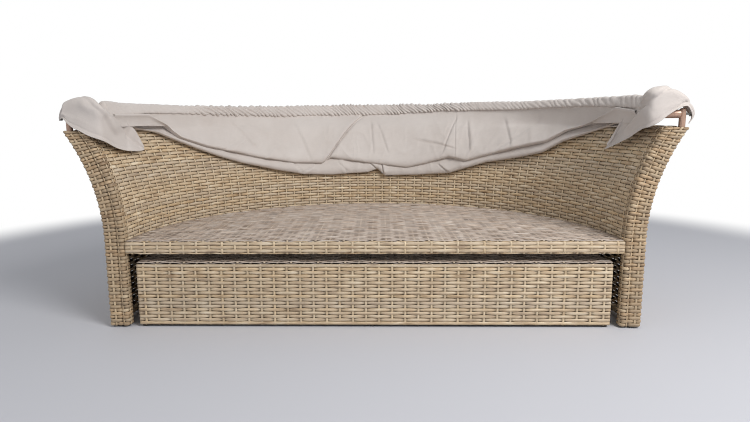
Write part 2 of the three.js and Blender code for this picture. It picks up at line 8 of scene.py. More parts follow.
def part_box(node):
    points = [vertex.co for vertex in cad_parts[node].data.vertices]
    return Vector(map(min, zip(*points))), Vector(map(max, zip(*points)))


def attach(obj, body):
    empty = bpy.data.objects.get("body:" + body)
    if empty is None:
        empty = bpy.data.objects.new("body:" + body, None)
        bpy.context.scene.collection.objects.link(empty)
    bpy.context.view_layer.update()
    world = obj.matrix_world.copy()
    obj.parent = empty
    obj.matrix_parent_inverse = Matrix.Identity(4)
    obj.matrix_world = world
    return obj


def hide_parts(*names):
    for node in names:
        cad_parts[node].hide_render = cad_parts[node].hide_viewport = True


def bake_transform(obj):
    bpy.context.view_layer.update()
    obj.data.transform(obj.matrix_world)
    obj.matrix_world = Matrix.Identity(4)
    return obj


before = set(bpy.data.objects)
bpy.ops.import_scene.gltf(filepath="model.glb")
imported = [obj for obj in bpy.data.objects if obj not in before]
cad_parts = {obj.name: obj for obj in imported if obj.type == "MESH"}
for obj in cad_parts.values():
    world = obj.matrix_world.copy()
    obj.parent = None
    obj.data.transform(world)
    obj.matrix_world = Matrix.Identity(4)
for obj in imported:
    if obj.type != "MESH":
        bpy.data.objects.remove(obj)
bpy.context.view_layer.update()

# The camera stands in front of the daybed at about the height of its canopy posts and looks
# slightly down, a little to the left of straight on. Its lens gives the photograph's view.
PHOTO_WIDTH = 750
SENSOR_MM = 36
FRONT_Y = -0.495858
CAMERA_FOCAL_PX = 585.1
CAMERA_CENTRE_PX = 363.6
CAMERA_PLACE = (0.0231, -1.8365 + FRONT_Y, 0.6888)
CAMERA_PITCH, CAMERA_YAW, CAMERA_ROLL = 0.1613, 0.0269, -0.0071


def add_object(name, data):
    made = bpy.data.objects.new(name, data)
    bpy.context.scene.collection.objects.link(made)
    return made


def place_camera():
    data = bpy.data.cameras.new("camera")
    data.sensor_width = SENSOR_MM
    data.lens = CAMERA_FOCAL_PX / PHOTO_WIDTH * SENSOR_MM
    data.shift_x = (PHOTO_WIDTH / 2 - CAMERA_CENTRE_PX) / PHOTO_WIDTH
    camera = add_object("camera", data)
    level = math.cos(CAMERA_PITCH)
    forward = Vector((-math.sin(CAMERA_YAW) * level, math.cos(CAMERA_YAW) * level, -math.sin(CAMERA_PITCH)))
    right = Vector((math.cos(CAMERA_YAW), math.sin(CAMERA_YAW), 0))
    up = right.cross(forward)
    turned = right * math.cos(CAMERA_ROLL) + up * math.sin(CAMERA_ROLL)
    raised = up * math.cos(CAMERA_ROLL) - right * math.sin(CAMERA_ROLL)
    rows = [(turned[i], raised[i], -forward[i], CAMERA_PLACE[i]) for i in range(3)]
    camera.matrix_world = Matrix(rows + [(0, 0, 0, 1)])
    bpy.context.scene.camera = camera


place_camera()

# Plain pale floor and white surroundings, with soft daylight from above and the front, as in
# a product photograph taken on a bright paved terrace.
FLOOR_HEX = "cacacf"
FLOOR_REACH = 14
FLOOR_FADE = (2.15, 2.75)
SKY_TINT = (0.93, 0.96, 1, 1)
SKY_STRENGTH = 0.43
WHITE = (1, 1, 1, 1)


def linear(hex_colour):
    parts = [int(hex_colour[i:i + 2], 16) / 255 for i in (0, 2, 4)]
    return tuple(p / 12.92 if p <= 0.04045 else ((p + 0.055) / 1.055) ** 2.4 for p in parts) + (1,)


def feed(tree, node, inputs):
    """Gives a node its inputs. Each is a plain value, a link or a node, for its first output."""
    for name, value in inputs.items():
        if isinstance(value, bpy.types.Node):
            value = value.outputs[0]
        if isinstance(value, bpy.types.NodeSocket):
            tree.links.new(value, node.inputs[name])
        else:
            node.inputs[name].default_value = value


def add_node(tree, kind, settings=None, inputs=None):
    """Adds a node with its settings and what goes into it."""
    made = tree.nodes.new(kind)
    for name, value in (settings or {}).items():
        setattr(made, name, value)
    feed(tree, made, inputs or {})
    return made


def new_material(name, sockets):
    material = bpy.data.materials.new(name)
    material.use_nodes = True
    tree = material.node_tree
    tree.nodes.clear()
    shader = add_node(tree, "ShaderNodeBsdfPrincipled", inputs=sockets)
    add_node(tree, "ShaderNodeOutputMaterial", inputs={0: shader})
    return material, tree, shader


def make_stage():
    mesh = bpy.data.meshes.new("floor")
    corners = [(x * FLOOR_REACH, y * FLOOR_REACH, 0) for x, y in ((-1, -1), (1, -1), (1, 1), (-1, 1))]
    mesh.from_pydata(corners, [], [(0, 1, 2, 3)])
    material, tree, shader = new_material("pale floor", {"Base Color": linear(FLOOR_HEX), "Roughness": 0.9})
    place = add_node(tree, "ShaderNodeTexCoord").outputs["Object"]
    far = add_node(tree, "ShaderNodeVectorMath", {"operation": "LENGTH"}, {0: place}).outputs["Value"]
    fade = add_node(tree, "ShaderNodeMapRange", {"interpolation_type": "SMOOTHSTEP"},
                    {0: far, 1: FLOOR_FADE[0], 2: FLOOR_FADE[1]})
    seen = add_node(tree, "ShaderNodeLightPath").outputs["Is Camera Ray"]
    faded = add_node(tree, "ShaderNodeMath", {"operation": "MULTIPLY"}, {0: fade, 1: seen})
    white = add_node(tree, "ShaderNodeEmission", inputs={0: WHITE, 1: 1.0})
    mixed = add_node(tree, "ShaderNodeMixShader", inputs={0: faded, 1: shader, 2: white})
    feed(tree, tree.nodes["Material Output"], {0: mixed})
    mesh.materials.append(material)
    add_object("floor", mesh)

    world = bpy.data.worlds.new("soft daylight")
    bpy.context.scene.world = world
    world.use_nodes = True
    tree = world.node_tree
    tree.nodes.clear()
    # Camera, glossy and see-through rays meet plain white in place of the lit background.
    rays = add_node(tree, "ShaderNodeLightPath").outputs
    seen = rays["Is Camera Ray"]
    for ray in ("Is Glossy Ray", "Is Transmission Ray"):
        seen = add_node(tree, "ShaderNodeMath", {"operation": "MAXIMUM"}, {0: seen, 1: rays[ray]})
    sky = add_node(tree, "ShaderNodeBackground", inputs={0: SKY_TINT, 1: SKY_STRENGTH})
    white = add_node(tree, "ShaderNodeBackground", inputs={0: WHITE, 1: 1.0})
    mix = add_node(tree, "ShaderNodeMixShader", inputs={0: seen, 1: sky, 2: white})
    add_node(tree, "ShaderNodeOutputWorld", inputs={0: mix})


def soft_lamp(name, place, target, size, power):
    data = bpy.data.lights.new(name, "AREA")
    data.shape = "DISK"
    data.size = size
    data.energy = power
    lamp = add_object(name, data)
    lamp.location = place
    lamp.rotation_euler = (Vector(target) - Vector(place)).to_track_quat("-Z", "Y").to_euler()


make_stage()
soft_lamp("key lamp", (1.95, -2.4, 2.7), target=(0, 0.1, 0.3), size=1.7, power=101)
soft_lamp("fill lamp", (-2.4, -2.1, 1.9), target=(0, 0.1, 0.4), size=2.2, power=7)
bpy.context.scene.view_settings.view_transform = "Standard"
bpy.context.scene.cycles.filter_width = 1.0

# Frame tubes, ribs and bars under the weave: mild steel tube and flat, welded and powder
# coated dark brown. The coat has a fine orange peel and a dull sheen.
COAT_PEEL_MM = 1.6


def speckled_finish(name, shades, specks, sockets, rough=None):
    """A coated or moulded surface whose colour drifts between two near shades."""
    material, tree, shader = new_material(name, sockets)
    place = add_node(tree, "ShaderNodeTexCoord").outputs["Object"]
    speck = add_node(tree, "ShaderNodeTexNoise", inputs={"Vector": place, **specks})
    tone = add_node(tree, "ShaderNodeMix", {"data_type": "RGBA"},
                    {0: speck, 6: linear(shades[0]), 7: linear(shades[1])})
    feed(tree, shader, {"Base Color": tone.outputs[2]})
    if rough:
        spread = add_node(tree, "ShaderNodeMapRange", inputs={0: speck, 3: rough[0], 4: rough[1]})
        feed(tree, shader, {"Roughness": spread})
    return material, tree, shader, place


def finish_nodes(material, *names):
    for name in names:
        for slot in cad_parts[name].material_slots:
            slot.material = material


def numbered(name, count):
    return [f"{name}_{i}" for i in range(1, count + 1)]


coat, tree, shader, place = speckled_finish("dark brown powder coat", ("3a2f28", "51453a"), {
    "Scale": 9, "Detail": 6, "Roughness": 0.65}, {"IOR": 1.5}, (0.42, 0.62))
peel = add_node(tree, "ShaderNodeTexNoise", inputs={
    "Vector": place, "Scale": 1000 / COAT_PEEL_MM, "Detail": 2})
feed(tree, shader, {"Normal": add_node(tree, "ShaderNodeBump", inputs={
    "Height": peel, "Strength": 0.25, "Distance": 0.0004})})
finish_nodes(coat, "base_ring", "seat_ring", "rim_tube", "front_rail_tube", "arm_frame_left",
             "arm_frame_right", "stool_frame", *numbered("wall_rib", 7), *numbered("seat_bar", 5),
             *numbered("stool_bar", 3))

# Woven skins: half-round strands of UV-stable polyethylene wicker, mottled tan, woven by hand
# over flat stakes. Each row passes over one stake and under the next, and the next row does
# the opposite, so every visible length of strand is two stakes long.
BOW_Y = FRONT_Y + 0.028
WALL_RADIUS = 0.870
WALL_HEIGHT = 0.650
FLARE_START = 0.295
FLARE_REACH = 0.109
WALL_THICKNESS = 0.064
FLARE_RADIUS = (FLARE_REACH ** 2 + (WALL_HEIGHT - FLARE_START) ** 2) / (2 * FLARE_REACH)
ROW_PITCH = 0.0112
STRAND_WIDTH = 0.0114
STRAND_THICKNESS = 0.0026
STRAND_RISE = 0.0021
STAKE_WIDTH = 0.0084
STAKE_LIFT = 0.0002
SEAT_STAKE_PITCH = 0.044
RAIL_STAKE_PITCH = 0.0425
BACK_ROW_PITCH = 0.0118
HAND_SWAY = 0.0011
SHORTEST_STRAND = 0.02


# The shape of a strand, as sums on the numbers that each one carries. A strand starts as a
# straight six-sided bar; "across" and "height" say where each of its points comes to lie.
STRAND_SUMS = [
    ("share", "ADD", "bar z", 0.5),
    ("length", "SUBTRACT", "run_to", "run_from"),
    ("along", "MULTIPLY_ADD", "share", "length", "run_from"),
    ("crossings", "DIVIDE", "along", "crossing"),
    ("turns", "ADD", "crossings", "phase"),
    ("wave angle", "MULTIPLY", "turns", math.pi),
    ("pure wave", "COSINE", "wave angle"),
    ("raw dip", "MULTIPLY_ADD", "pure wave", -1.0, -0.02),
    ("open dip", "MAXIMUM", "raw dip", 0.0),
    ("dip", "POWER", "open dip", 1.25),
    ("crown", "MULTIPLY_ADD", "pure wave", 0.3, 0.7),
    ("wave", "MULTIPLY_ADD", "dip", -1.6, "crown"),
    ("mirror", "MULTIPLY_ADD", "turned", -2.0, 1.0),
    ("side", "MULTIPLY", "bar x", "mirror"),
    ("straight", "MULTIPLY_ADD", "side", "half_width", "across"),
    ("bar top", "MAXIMUM", "bar y", -0.35),
    ("shell", "MULTIPLY", "bar top", "thick"),
    ("level", "MULTIPLY_ADD", "wave", "rise", "lift"),
    ("height", "ADD", "level", "shell"),
    ("strip side", "MULTIPLY", "bar x", "half_width"),
]
GUIDE_SUMS = [
    ("off", "SUBTRACT", "noise", 0.5),
    ("swayed", "MULTIPLY_ADD", "off", "Hand sway", "straight"),
    ("across from along", "SUBTRACT", "swayed", "along"),
    ("along from across", "SUBTRACT", "along", "swayed"),
    ("wide", "MULTIPLY_ADD", "turned", "across from along", "along"),
    ("high", "MULTIPLY_ADD", "turned", "along from across", "swayed"),
    ("u", "DIVIDE", "wide", "Guide width"),
    ("v", "DIVIDE", "high", "Guide height"),
    ("u low", "MAXIMUM", "u", 0.0002),
    ("v low", "MAXIMUM", "v", 0.0002),
    ("u in", "MINIMUM", "u low", 0.9998),
    ("v in", "MINIMUM", "v low", 0.9998),
]
STRAND_NUMBERS = ("run_from", "run_to", "across", "turned", "crossing", "phase", "rise", "lift",
                  "half_width", "thick", "tint")


def wicker_tree():
    tree = bpy.data.node_groups.new("woven strands", "GeometryNodeTree")
    for name, kind in (("Strands", "Geometry"), ("Guide", "Object"), ("Row segments", "Int"),
                       ("Stake segments", "Int"), ("Guide width", "Float"), ("Guide height", "Float"),
                       ("Hand sway", "Float"), ("Material", "Material")):
        tree.interface.new_socket(name, in_out="INPUT", socket_type="NodeSocket" + kind)
    tree.interface.new_socket("Weave", in_out="OUTPUT", socket_type="NodeSocketGeometry")
    group = tree.nodes.new("NodeGroupInput").outputs
    wires = {name: group[name] for name in ("Guide width", "Guide height", "Hand sway")}
    for name in STRAND_NUMBERS + ("flat", "outward"):
        kind = "FLOAT" if name in STRAND_NUMBERS else "FLOAT_VECTOR"
        wires[name] = add_node(tree, "GeometryNodeInputNamedAttribute", {"data_type": kind},
                               {"Name": name}).outputs["Attribute"]

    both = add_node(tree, "GeometryNodeJoinGeometry")
    for segments, turned in (("Row segments", 0.0), ("Stake segments", 1.0)):
        bar = add_node(tree, "GeometryNodeMeshCylinder", {"fill_type": "NGON"},
                       {"Side Segments": group[segments], "Vertices": 6, "Radius": 1, "Depth": 1})
        chosen = add_node(tree, "FunctionNodeCompare", {"data_type": "FLOAT", "operation": "EQUAL"},
                          {"A": wires["turned"], "B": turned, "Epsilon": 0.1})
        batch = add_node(tree, "GeometryNodeInstanceOnPoints", inputs={
            "Points": group["Strands"], "Instance": bar, "Selection": chosen})
        feed(tree, both, {0: batch})
    flow = add_node(tree, "GeometryNodeRealizeInstances", inputs={0: both})

    place = add_node(tree, "GeometryNodeInputPosition")
    raw = add_node(tree, "ShaderNodeSeparateXYZ", inputs={0: place}).outputs
    wires.update({"bar x": raw["X"], "bar y": raw["Y"], "bar z": raw["Z"]})
    for sums in (STRAND_SUMS, GUIDE_SUMS):
        for name, operation, *terms in sums:
            inputs = {i: wires.get(term, term) for i, term in enumerate(terms)}
            wires[name] = add_node(tree, "ShaderNodeMath", {"operation": operation}, inputs).outputs[0]
        if sums is STRAND_SUMS:
            sway_at = add_node(tree, "ShaderNodeCombineXYZ", inputs={0: wires["along"], 1: wires["across"]})
            wires["noise"] = add_node(tree, "ShaderNodeTexNoise", inputs={
                "Vector": sway_at, "Scale": 23, "Detail": 2}).outputs[0]
    spot = add_node(tree, "ShaderNodeCombineXYZ", inputs={0: wires["u in"], 1: wires["v in"]})
    guide = add_node(tree, "GeometryNodeObjectInfo", inputs={"Object": group["Guide"]}).outputs["Geometry"]
    under, outward = [
        add_node(tree, "GeometryNodeSampleUVSurface", {"data_type": "FLOAT_VECTOR"}, {
            "Mesh": guide, "Value": source, "Source UV Map": wires["flat"], "Sample UV": spot})
        for source in (place, wires["outward"])]
    out = add_node(tree, "ShaderNodeVectorMath", {"operation": "SCALE"},
                   {0: outward, "Scale": wires["height"]})
    final = add_node(tree, "ShaderNodeVectorMath", {"operation": "ADD"}, {0: under, 1: out})
    strip = add_node(tree, "ShaderNodeCombineXYZ", inputs={0: wires["along"], 1: wires["strip side"]})
    for name, kind, domain, value in (("UVMap", "FLOAT2", "CORNER", strip),
                                      ("height", "FLOAT", "POINT", wires["height"])):
        flow = add_node(tree, "GeometryNodeStoreNamedAttribute", {"data_type": kind, "domain": domain},
                        {"Geometry": flow, "Value": value, "Name": name})
    flow = add_node(tree, "GeometryNodeSetPosition", inputs={"Geometry": flow, "Position": final})
    flow = add_node(tree, "GeometryNodeSetShadeSmooth", inputs={"Geometry": flow})
    flow = add_node(tree, "GeometryNodeSetMaterial", inputs={"Geometry": flow, "Material": group["Material"]})
    add_node(tree, "NodeGroupOutput", inputs={0: flow})
    return tree


def weave_plan(width, height, stakes, row_pitch=ROW_PITCH, row_span=None, stake_span=None,
               edge_rows=0, rows_from=0, rows_to=None, seed=1, rise=STRAND_RISE):
    """One entry a strand: where it runs on the flat weave and how it waves over and under."""
    chance = np.random.default_rng(seed)
    rows = max(1, round(height / row_pitch))
    pitch = height / rows
    stake_pitch = width / stakes
    last = rows if rows_to is None else rows_to
    plan = {name: [] for name in STRAND_NUMBERS}

    def add(span, **strand):
        if span[1] - span[0] > SHORTEST_STRAND:
            strand.update(run_from=span[0], run_to=span[1], tint=chance.random())
            for key, value in strand.items():
                plan[key].append(value)

    for i in range(rows_from, last):
        across = (i + 0.5) * pitch
        edge = i < edge_rows or i >= rows - edge_rows
        add(row_span(across) if row_span else (0, width), across=across, turned=0, crossing=stake_pitch,
            phase=i - 0.5, rise=0 if edge else rise, lift=0.0008 if edge else 0,
            half_width=STRAND_WIDTH / 2 * pitch / ROW_PITCH, thick=STRAND_THICKNESS)
    for j in range(stakes):
        across = (j + 0.5) * stake_pitch
        add(stake_span(across) if stake_span else (rows_from * pitch, last * pitch), across=across,
            turned=1, crossing=pitch, phase=j + 0.5, rise=0.0007, lift=STAKE_LIFT,
            half_width=STAKE_WIDTH / 2, thick=0.0021)
    return plan


def unit(directions):
    return directions / np.maximum(np.linalg.norm(directions, axis=-1, keepdims=True), 1e-12)


def outward_of(points):
    """The direction that stands square on a grid of points."""
    return unit(np.cross(np.gradient(points, axis=1), np.gradient(points, axis=0)))


def grid_faces(rows, columns):
    index = np.arange(rows * columns).reshape(rows, columns)
    faces = np.stack([index[:-1, :-1], index[:-1, 1:], index[1:, 1:], index[1:, :-1]], -1)
    return index, faces.reshape(-1, 4)


def mapped_object(name, points, faces, layer, uv):
    """A mesh on these points and faces, whose flat map is given point by point."""
    mesh = bpy.data.meshes.new(name)
    mesh.from_pydata(points.tolist(), [], faces.tolist())
    corner = np.zeros(len(mesh.loops), int)
    mesh.loops.foreach_get("vertex_index", corner)
    mesh.uv_layers.new(name=layer).data.foreach_set("uv", uv[corner].ravel())
    return add_object(name, mesh)


def make_guide(surface, columns, rows):
    """The smooth surface that a weave lies on, with its flat map and its outward direction."""
    u, v = np.meshgrid(np.linspace(0, 1, columns + 1), np.linspace(0, 1, rows + 1))
    points = np.stack(surface(u, v), -1)
    faces = grid_faces(rows + 1, columns + 1)[1]
    guide = mapped_object("guide", points.reshape(-1, 3), faces, "flat", np.stack([u.ravel(), v.ravel()], -1))
    held = guide.data.attributes.new("outward", "FLOAT_VECTOR", "POINT")
    held.data.foreach_set("vector", outward_of(points).ravel())
    return guide


WICKER_TREE = wicker_tree()


def weave(name, surface, size, plan, material, grid, row_segments, stake_segments):
    """Weaves one skin over its guide surface and returns it as a plain mesh."""
    guide = make_guide(surface, *grid)
    mesh = bpy.data.meshes.new(name + " strands")
    mesh.from_pydata([(0, 0, 0)] * len(plan["tint"]), [], [])
    for key, values in plan.items():
        mesh.attributes.new(key, "FLOAT", "POINT").data.foreach_set("value", values)
    base = add_object(name + " strands", mesh)
    modifier = base.modifiers.new("weave", "NODES")
    modifier.node_group = WICKER_TREE
    given = {"Guide": guide, "Row segments": row_segments, "Stake segments": stake_segments,
             "Guide width": size[0], "Guide height": size[1], "Hand sway": HAND_SWAY, "Material": material}
    for item in WICKER_TREE.interface.items_tree:
        if item.name in given:
            modifier[item.identifier] = given[item.name]
    made = bpy.data.meshes.new_from_object(base.evaluated_get(bpy.context.evaluated_depsgraph_get()))
    made.name = name
    for key in plan:
        if key not in ("tint", "turned") and key in made.attributes:
            made.attributes.remove(made.attributes[key])
    bpy.data.objects.remove(base)
    bpy.data.objects.remove(guide)
    return add_object(name, made)


# Painted shade: each strand's colour turns darker where it lies low, in the grooves below the
# strands' crowns. The streaks are about 70 mm long and 1.6 mm wide, the mottling is about
# 60 by 17 mm.
PAINTED_SHADE_DEEP = -0.0021
PAINTED_SHADE_TOP = 0.0016
PAINTED_GROOVE_SHADE = "2e2118"
STAKE_SHADE = "dcc8a8"
STREAKS_PER_M = (14, 620, 1)
MOTTLES_PER_M = (16, 60, 1)
MOTTLE_RANGE = (0.30, 0.72)


def wicker(name, shades, grey):
    """Moulded polyethylene strand: waxy half gloss, streaked along its length, mottled,
    with painted shade where it lies low.
    """
    material, tree, shader = new_material(name, {"IOR": 1.51})
    where = add_node(tree, "ShaderNodeUVMap", {"uv_map": "UVMap"})
    tint, turned, height = [add_node(tree, "ShaderNodeAttribute", {"attribute_name": number}).outputs["Fac"]
                            for number in ("tint", "turned", "height")]
    shift = add_node(tree, "ShaderNodeMath", {"operation": "MULTIPLY"}, {0: tint, 1: 40})
    apart = add_node(tree, "ShaderNodeCombineXYZ", inputs={2: shift})
    strand = add_node(tree, "ShaderNodeVectorMath", {"operation": "ADD"}, {0: where, 1: apart})
    streak, mottle = [
        add_node(tree, "ShaderNodeTexNoise", inputs={
            "Vector": add_node(tree, "ShaderNodeMapping", inputs={"Vector": strand, "Scale": per_m}),
            "Scale": 1, "Detail": detail, "Roughness": rough})
        for per_m, detail, rough in ((STREAKS_PER_M, 5, 0.6), (MOTTLES_PER_M, 4, 0.55))]
    ramp = add_node(tree, "ShaderNodeValToRGB", inputs={0: mottle})
    stops = ramp.color_ramp.elements
    for i in (0, -1):
        stops[i].position = MOTTLE_RANGE[i]
        stops[i].color = linear(shades[i])
    spread = MOTTLE_RANGE[1] - MOTTLE_RANGE[0]
    for i, shade in enumerate(shades[1:-1], 1):
        stops.new(MOTTLE_RANGE[0] + spread * i / (len(shades) - 1)).color = linear(shade)
    worn = add_node(tree, "ShaderNodeMapRange", inputs={0: tint, 3: 0.0, 4: 0.55})
    stake = add_node(tree, "ShaderNodeMath", {"operation": "MULTIPLY"}, {0: turned, 1: 0.4})
    streaked = add_node(tree, "ShaderNodeMapRange", inputs={0: streak, 1: 0.3, 2: 0.7, 3: 0.72, 4: 1.12})
    # Painted shade: the colour darkens where the strand lies low, in the grooves between crowns.
    painted_shade = add_node(tree, "ShaderNodeMapRange", {"interpolation_type": "SMOOTHSTEP"},
                      {0: height, 1: PAINTED_SHADE_DEEP, 2: PAINTED_SHADE_TOP, 3: 1.0, 4: 0.0})
    colour = ramp
    for blend, share, other in (("MIX", worn, linear(grey)), ("MIX", stake, linear(STAKE_SHADE)),
                                ("MULTIPLY", 1.0, streaked), ("MIX", painted_shade, linear(PAINTED_GROOVE_SHADE))):
        colour = add_node(tree, "ShaderNodeMix", {"data_type": "RGBA", "blend_type": blend},
                          {0: share, 6: colour, 7: other}).outputs[2]
    rough = add_node(tree, "ShaderNodeMapRange", inputs={0: streak, 3: 0.42, 4: 0.62})
    bump = add_node(tree, "ShaderNodeBump", inputs={"Height": streak, "Strength": 0.35, "Distance": 0.0006})
    feed(tree, shader, {"Base Color": colour, "Roughness": rough, "Normal": bump})
    return material


TAN_WICKER = wicker("tan polyethylene wicker", ["96795a", "ccb08a", "dfc7a4", "f4e3c6"], "c2b4a2")
ARM_WICKER = wicker("brown tan polyethylene wicker", ["7d6349", "ad9170", "c6a985", "e0cba9"], "a3957f")
# The seat's shades are paler and greyer than the tan: partly the strand's own tone, partly painted sheen for
# the pale glancing reflections along its strands.
SEAT_WICKER = wicker("greyed polyethylene wicker", ["725f4f", "b09a88", "d0bdac", "eaded2"], "bab0a8")


def wall_radius(z, offset=0):
    """Outer radius of the wall at a height, less an offset into the wall."""
    rise = np.maximum(z - FLARE_START, 0)
    centre = WALL_RADIUS + FLARE_RADIUS
    return centre - np.sqrt((FLARE_RADIUS + offset) ** 2 - rise ** 2)


def on_bow(radius, angle, z, centre_y=BOW_Y):
    """The point at an angle round the wall's half circle, from the right arm."""
    return radius * np.cos(angle), centre_y + radius * np.sin(angle), z


def band(offset, low, high, inward):
    def surface(u, v):
        z = low + v * (high - low)
        return on_bow(wall_radius(z, offset), math.pi * ((1 - u) if inward else u), z)
    return surface


def dress(piece, node, body="daybed"):
    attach(piece, body)
    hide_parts(node)


def cover(node, name, surface, size, stakes, stake_segments, grid=(128, 24), material=TAN_WICKER,
          body="daybed", slot="wicker", per_stake=5, **plan):
    """Weaves one skin for a node of the part. Rows have per_stake segments over each stake."""
    piece = weave(name, surface, size, weave_plan(*size, stakes, **plan), material, grid,
                  stakes * per_stake, stake_segments)
    dress(piece, node, body)


SKIN_LOW = 0.006
SKIN_HIGH = 0.641
OUTER_STAKES = 73
wall_size = (math.pi * (WALL_RADIUS + 0.03), SKIN_HIGH - SKIN_LOW)
wall_rows = round(wall_size[1] / ROW_PITCH)
outer_surface = band(0.0025, SKIN_LOW, SKIN_HIGH, False)
for name, rows in (("outer_wall_lower_rows", (0, wall_rows // 2)),
                   ("outer_wall_upper_rows", (wall_rows // 2, wall_rows))):
    cover("outer_wall_weave", name, outer_surface, wall_size, OUTER_STAKES, wall_rows // 2,
          rows_from=rows[0], rows_to=rows[1], seed=len(name))

# The inside of the back: the same hand weave on closer stakes and in slightly wider rows, from
# just under the seat up to the rim.
BACK_STAKES = 69
BACK_LOW = 0.286
back_size = (math.pi * (WALL_RADIUS - WALL_THICKNESS + 0.03), SKIN_HIGH - BACK_LOW)
back_surface = band(WALL_THICKNESS - 0.0025, BACK_LOW, SKIN_HIGH, True)
cover("inner_back_weave", "inner_back_strands", back_surface, back_size, BACK_STAKES, 34,
      row_pitch=BACK_ROW_PITCH, seed=7)

# The rim: rows of the same strand laid along the top of the wall, over a steel tube and on the
# ends of the stakes. They turn down a few millimetres on both sides.
RIM_CROWN = 0.004
RIM_TURN = 0.004
RIM_WIDTH = 0.072


def rim_surface(u, v):
    edge = WALL_HEIGHT - RIM_CROWN
    turn = RIM_TURN / RIM_WIDTH
    top = np.clip((v - turn) / (1 - 2 * turn), 0, 1)
    outer = wall_radius(edge, 0.001)
    inner = wall_radius(edge, WALL_THICKNESS - 0.001)
    z = edge - 0.0025 + RIM_CROWN * np.sin(math.pi * top)
    z = np.where(v < turn, SKIN_HIGH + (z - SKIN_HIGH) * v / turn, z)
    z = np.where(v > 1 - turn, SKIN_HIGH + (z - SKIN_HIGH) * (1 - v) / turn, z)
    return on_bow(outer + (inner - outer) * top, math.pi * u, z)


rim_size = (math.pi * (WALL_RADIUS + FLARE_REACH - 0.03), RIM_WIDTH)
cover("rim_weave", "rim_strands", rim_surface, rim_size, OUTER_STAKES, 12, grid=(128, 36), seed=9)

# Arm fronts: each band of strands wraps round the two edge tubes of the arm frame. The inner
# tube stands a little proud of the face, and on the flare the rows run square to the band.
ARM_DEPTH = 0.0275
ARM_TOP = WALL_HEIGHT - 0.003
ARM_INNER_ROUND = 0.0115
ARM_OUTER_ROUND = 0.007
ARM_GROOVE = 0.0058
FLARE_TURN = math.asin((ARM_TOP - FLARE_START) / FLARE_RADIUS)
FLARE_TURN_INNER = math.asin((ARM_TOP - FLARE_START) / (FLARE_RADIUS + WALL_THICKNESS))
ARM_LENGTH = FLARE_START - SKIN_LOW + (FLARE_RADIUS + WALL_THICKNESS / 2) * FLARE_TURN


def arm_section():
    """The path of a strand round the arm, from inside to outside, as (offset, depth)."""
    inner = [(WALL_THICKNESS - ARM_INNER_ROUND * (1 - math.cos(t)), ARM_INNER_ROUND * (1 - math.sin(t)))
             for t in np.linspace(0, math.pi / 2, 7)]
    outer = [(ARM_OUTER_ROUND * (1 - math.cos(t)), ARM_OUTER_ROUND * (1 - math.sin(t)))
             for t in np.linspace(math.pi / 2, 0, 6)]
    edge = WALL_THICKNESS - ARM_INNER_ROUND
    path = [(WALL_THICKNESS, ARM_DEPTH)] + inner
    path += [(edge - 0.004, 0.0008), (edge - 0.0085, 0.0034), (edge - 0.0105, ARM_GROOVE),
             (edge - 0.0135, ARM_GROOVE), (edge - 0.0165, 0.0030), (edge - 0.021, 0.0018)]
    path += [(ARM_OUTER_ROUND + 0.004, 0.0004)] + outer + [(0, ARM_DEPTH)]
    return np.array(path)


def run_along(points):
    """How far along its line each point lies."""
    steps = np.linalg.norm(np.diff(points, axis=-2), axis=-1)
    return np.concatenate([np.zeros(steps.shape[:-1] + (1,)), np.cumsum(steps, axis=-1)], axis=-1)


def arm_surface(sign):
    path = arm_section()
    stops = run_along(path)
    middle = FLARE_RADIUS + WALL_THICKNESS / 2

    def surface(u, v):
        s = (u if sign > 0 else 1 - u) * stops[-1]
        offset, back = (np.interp(s, stops, path[:, k]) for k in (0, 1))
        run = v * ARM_LENGTH
        turn = np.clip((run - (FLARE_START - SKIN_LOW)) / middle, 0, None)
        level = np.clip((turn / FLARE_TURN - 0.6) / 0.4, 0, 1) ** 1.5
        turn = turn - level * (FLARE_TURN - FLARE_TURN_INNER) * offset / WALL_THICKNESS
        arm = FLARE_RADIUS + 0.001 + offset * (1 - 0.002 / WALL_THICKNESS)
        x = WALL_RADIUS + FLARE_RADIUS - arm * np.cos(turn)
        z = np.where(turn > 0, FLARE_START + arm * np.sin(turn), SKIN_LOW + run)
        return sign * x, FRONT_Y + 0.002 + back, z
    return surface, stops[-1]


for side, sign in (("left", -1), ("right", 1)):
    surface, around = arm_surface(sign)
    cover("arm_front_weave_" + side, "arm_band_" + side, surface, (around, ARM_LENGTH), 4, 90,
          grid=(96, 60), material=ARM_WICKER, per_stake=9, row_pitch=BACK_ROW_PITCH, seed=20 + sign)

# Front rail of the seat: three rows on the face, turned under and over a square steel tube. The
# seat's own strands run over its top edge.
RAIL_LOW, RAIL_HIGH = 0.248, 0.291
RAIL_FRONT, RAIL_BACK = FRONT_Y + 0.0055, FRONT_Y + 0.0275
RAIL_HALF = 0.8055
rail_path = np.array([(RAIL_BACK, RAIL_LOW + 0.0015), (RAIL_FRONT + 0.004, RAIL_LOW + 0.0015),
                      (RAIL_FRONT, RAIL_LOW + 0.005), (RAIL_FRONT, RAIL_HIGH - 0.0065),
                      (RAIL_FRONT + 0.0035, RAIL_HIGH - 0.0034), (RAIL_FRONT + 0.007, RAIL_HIGH - 0.005),
                      (RAIL_FRONT + 0.012, RAIL_HIGH - 0.010)])
rail_run = run_along(rail_path)
rail_size = (2 * RAIL_HALF, float(rail_run[-1]))


def rail_surface(u, v):
    y, z = (np.interp(v * rail_run[-1], rail_run, rail_path[:, k]) for k in (0, 1))
    return (2 * u - 1) * RAIL_HALF, y, z


cover("front_rail_weave", "front_rail_strands", rail_surface, rail_size,
      round(2 * RAIL_HALF / RAIL_STAKE_PITCH), 16, grid=(24, 60), per_stake=6, seed=31, rise=0.0011)

# Seat deck: rows run from side to side over stakes that run front to back, trimmed to the
# half circle and tied down to the seat ring.


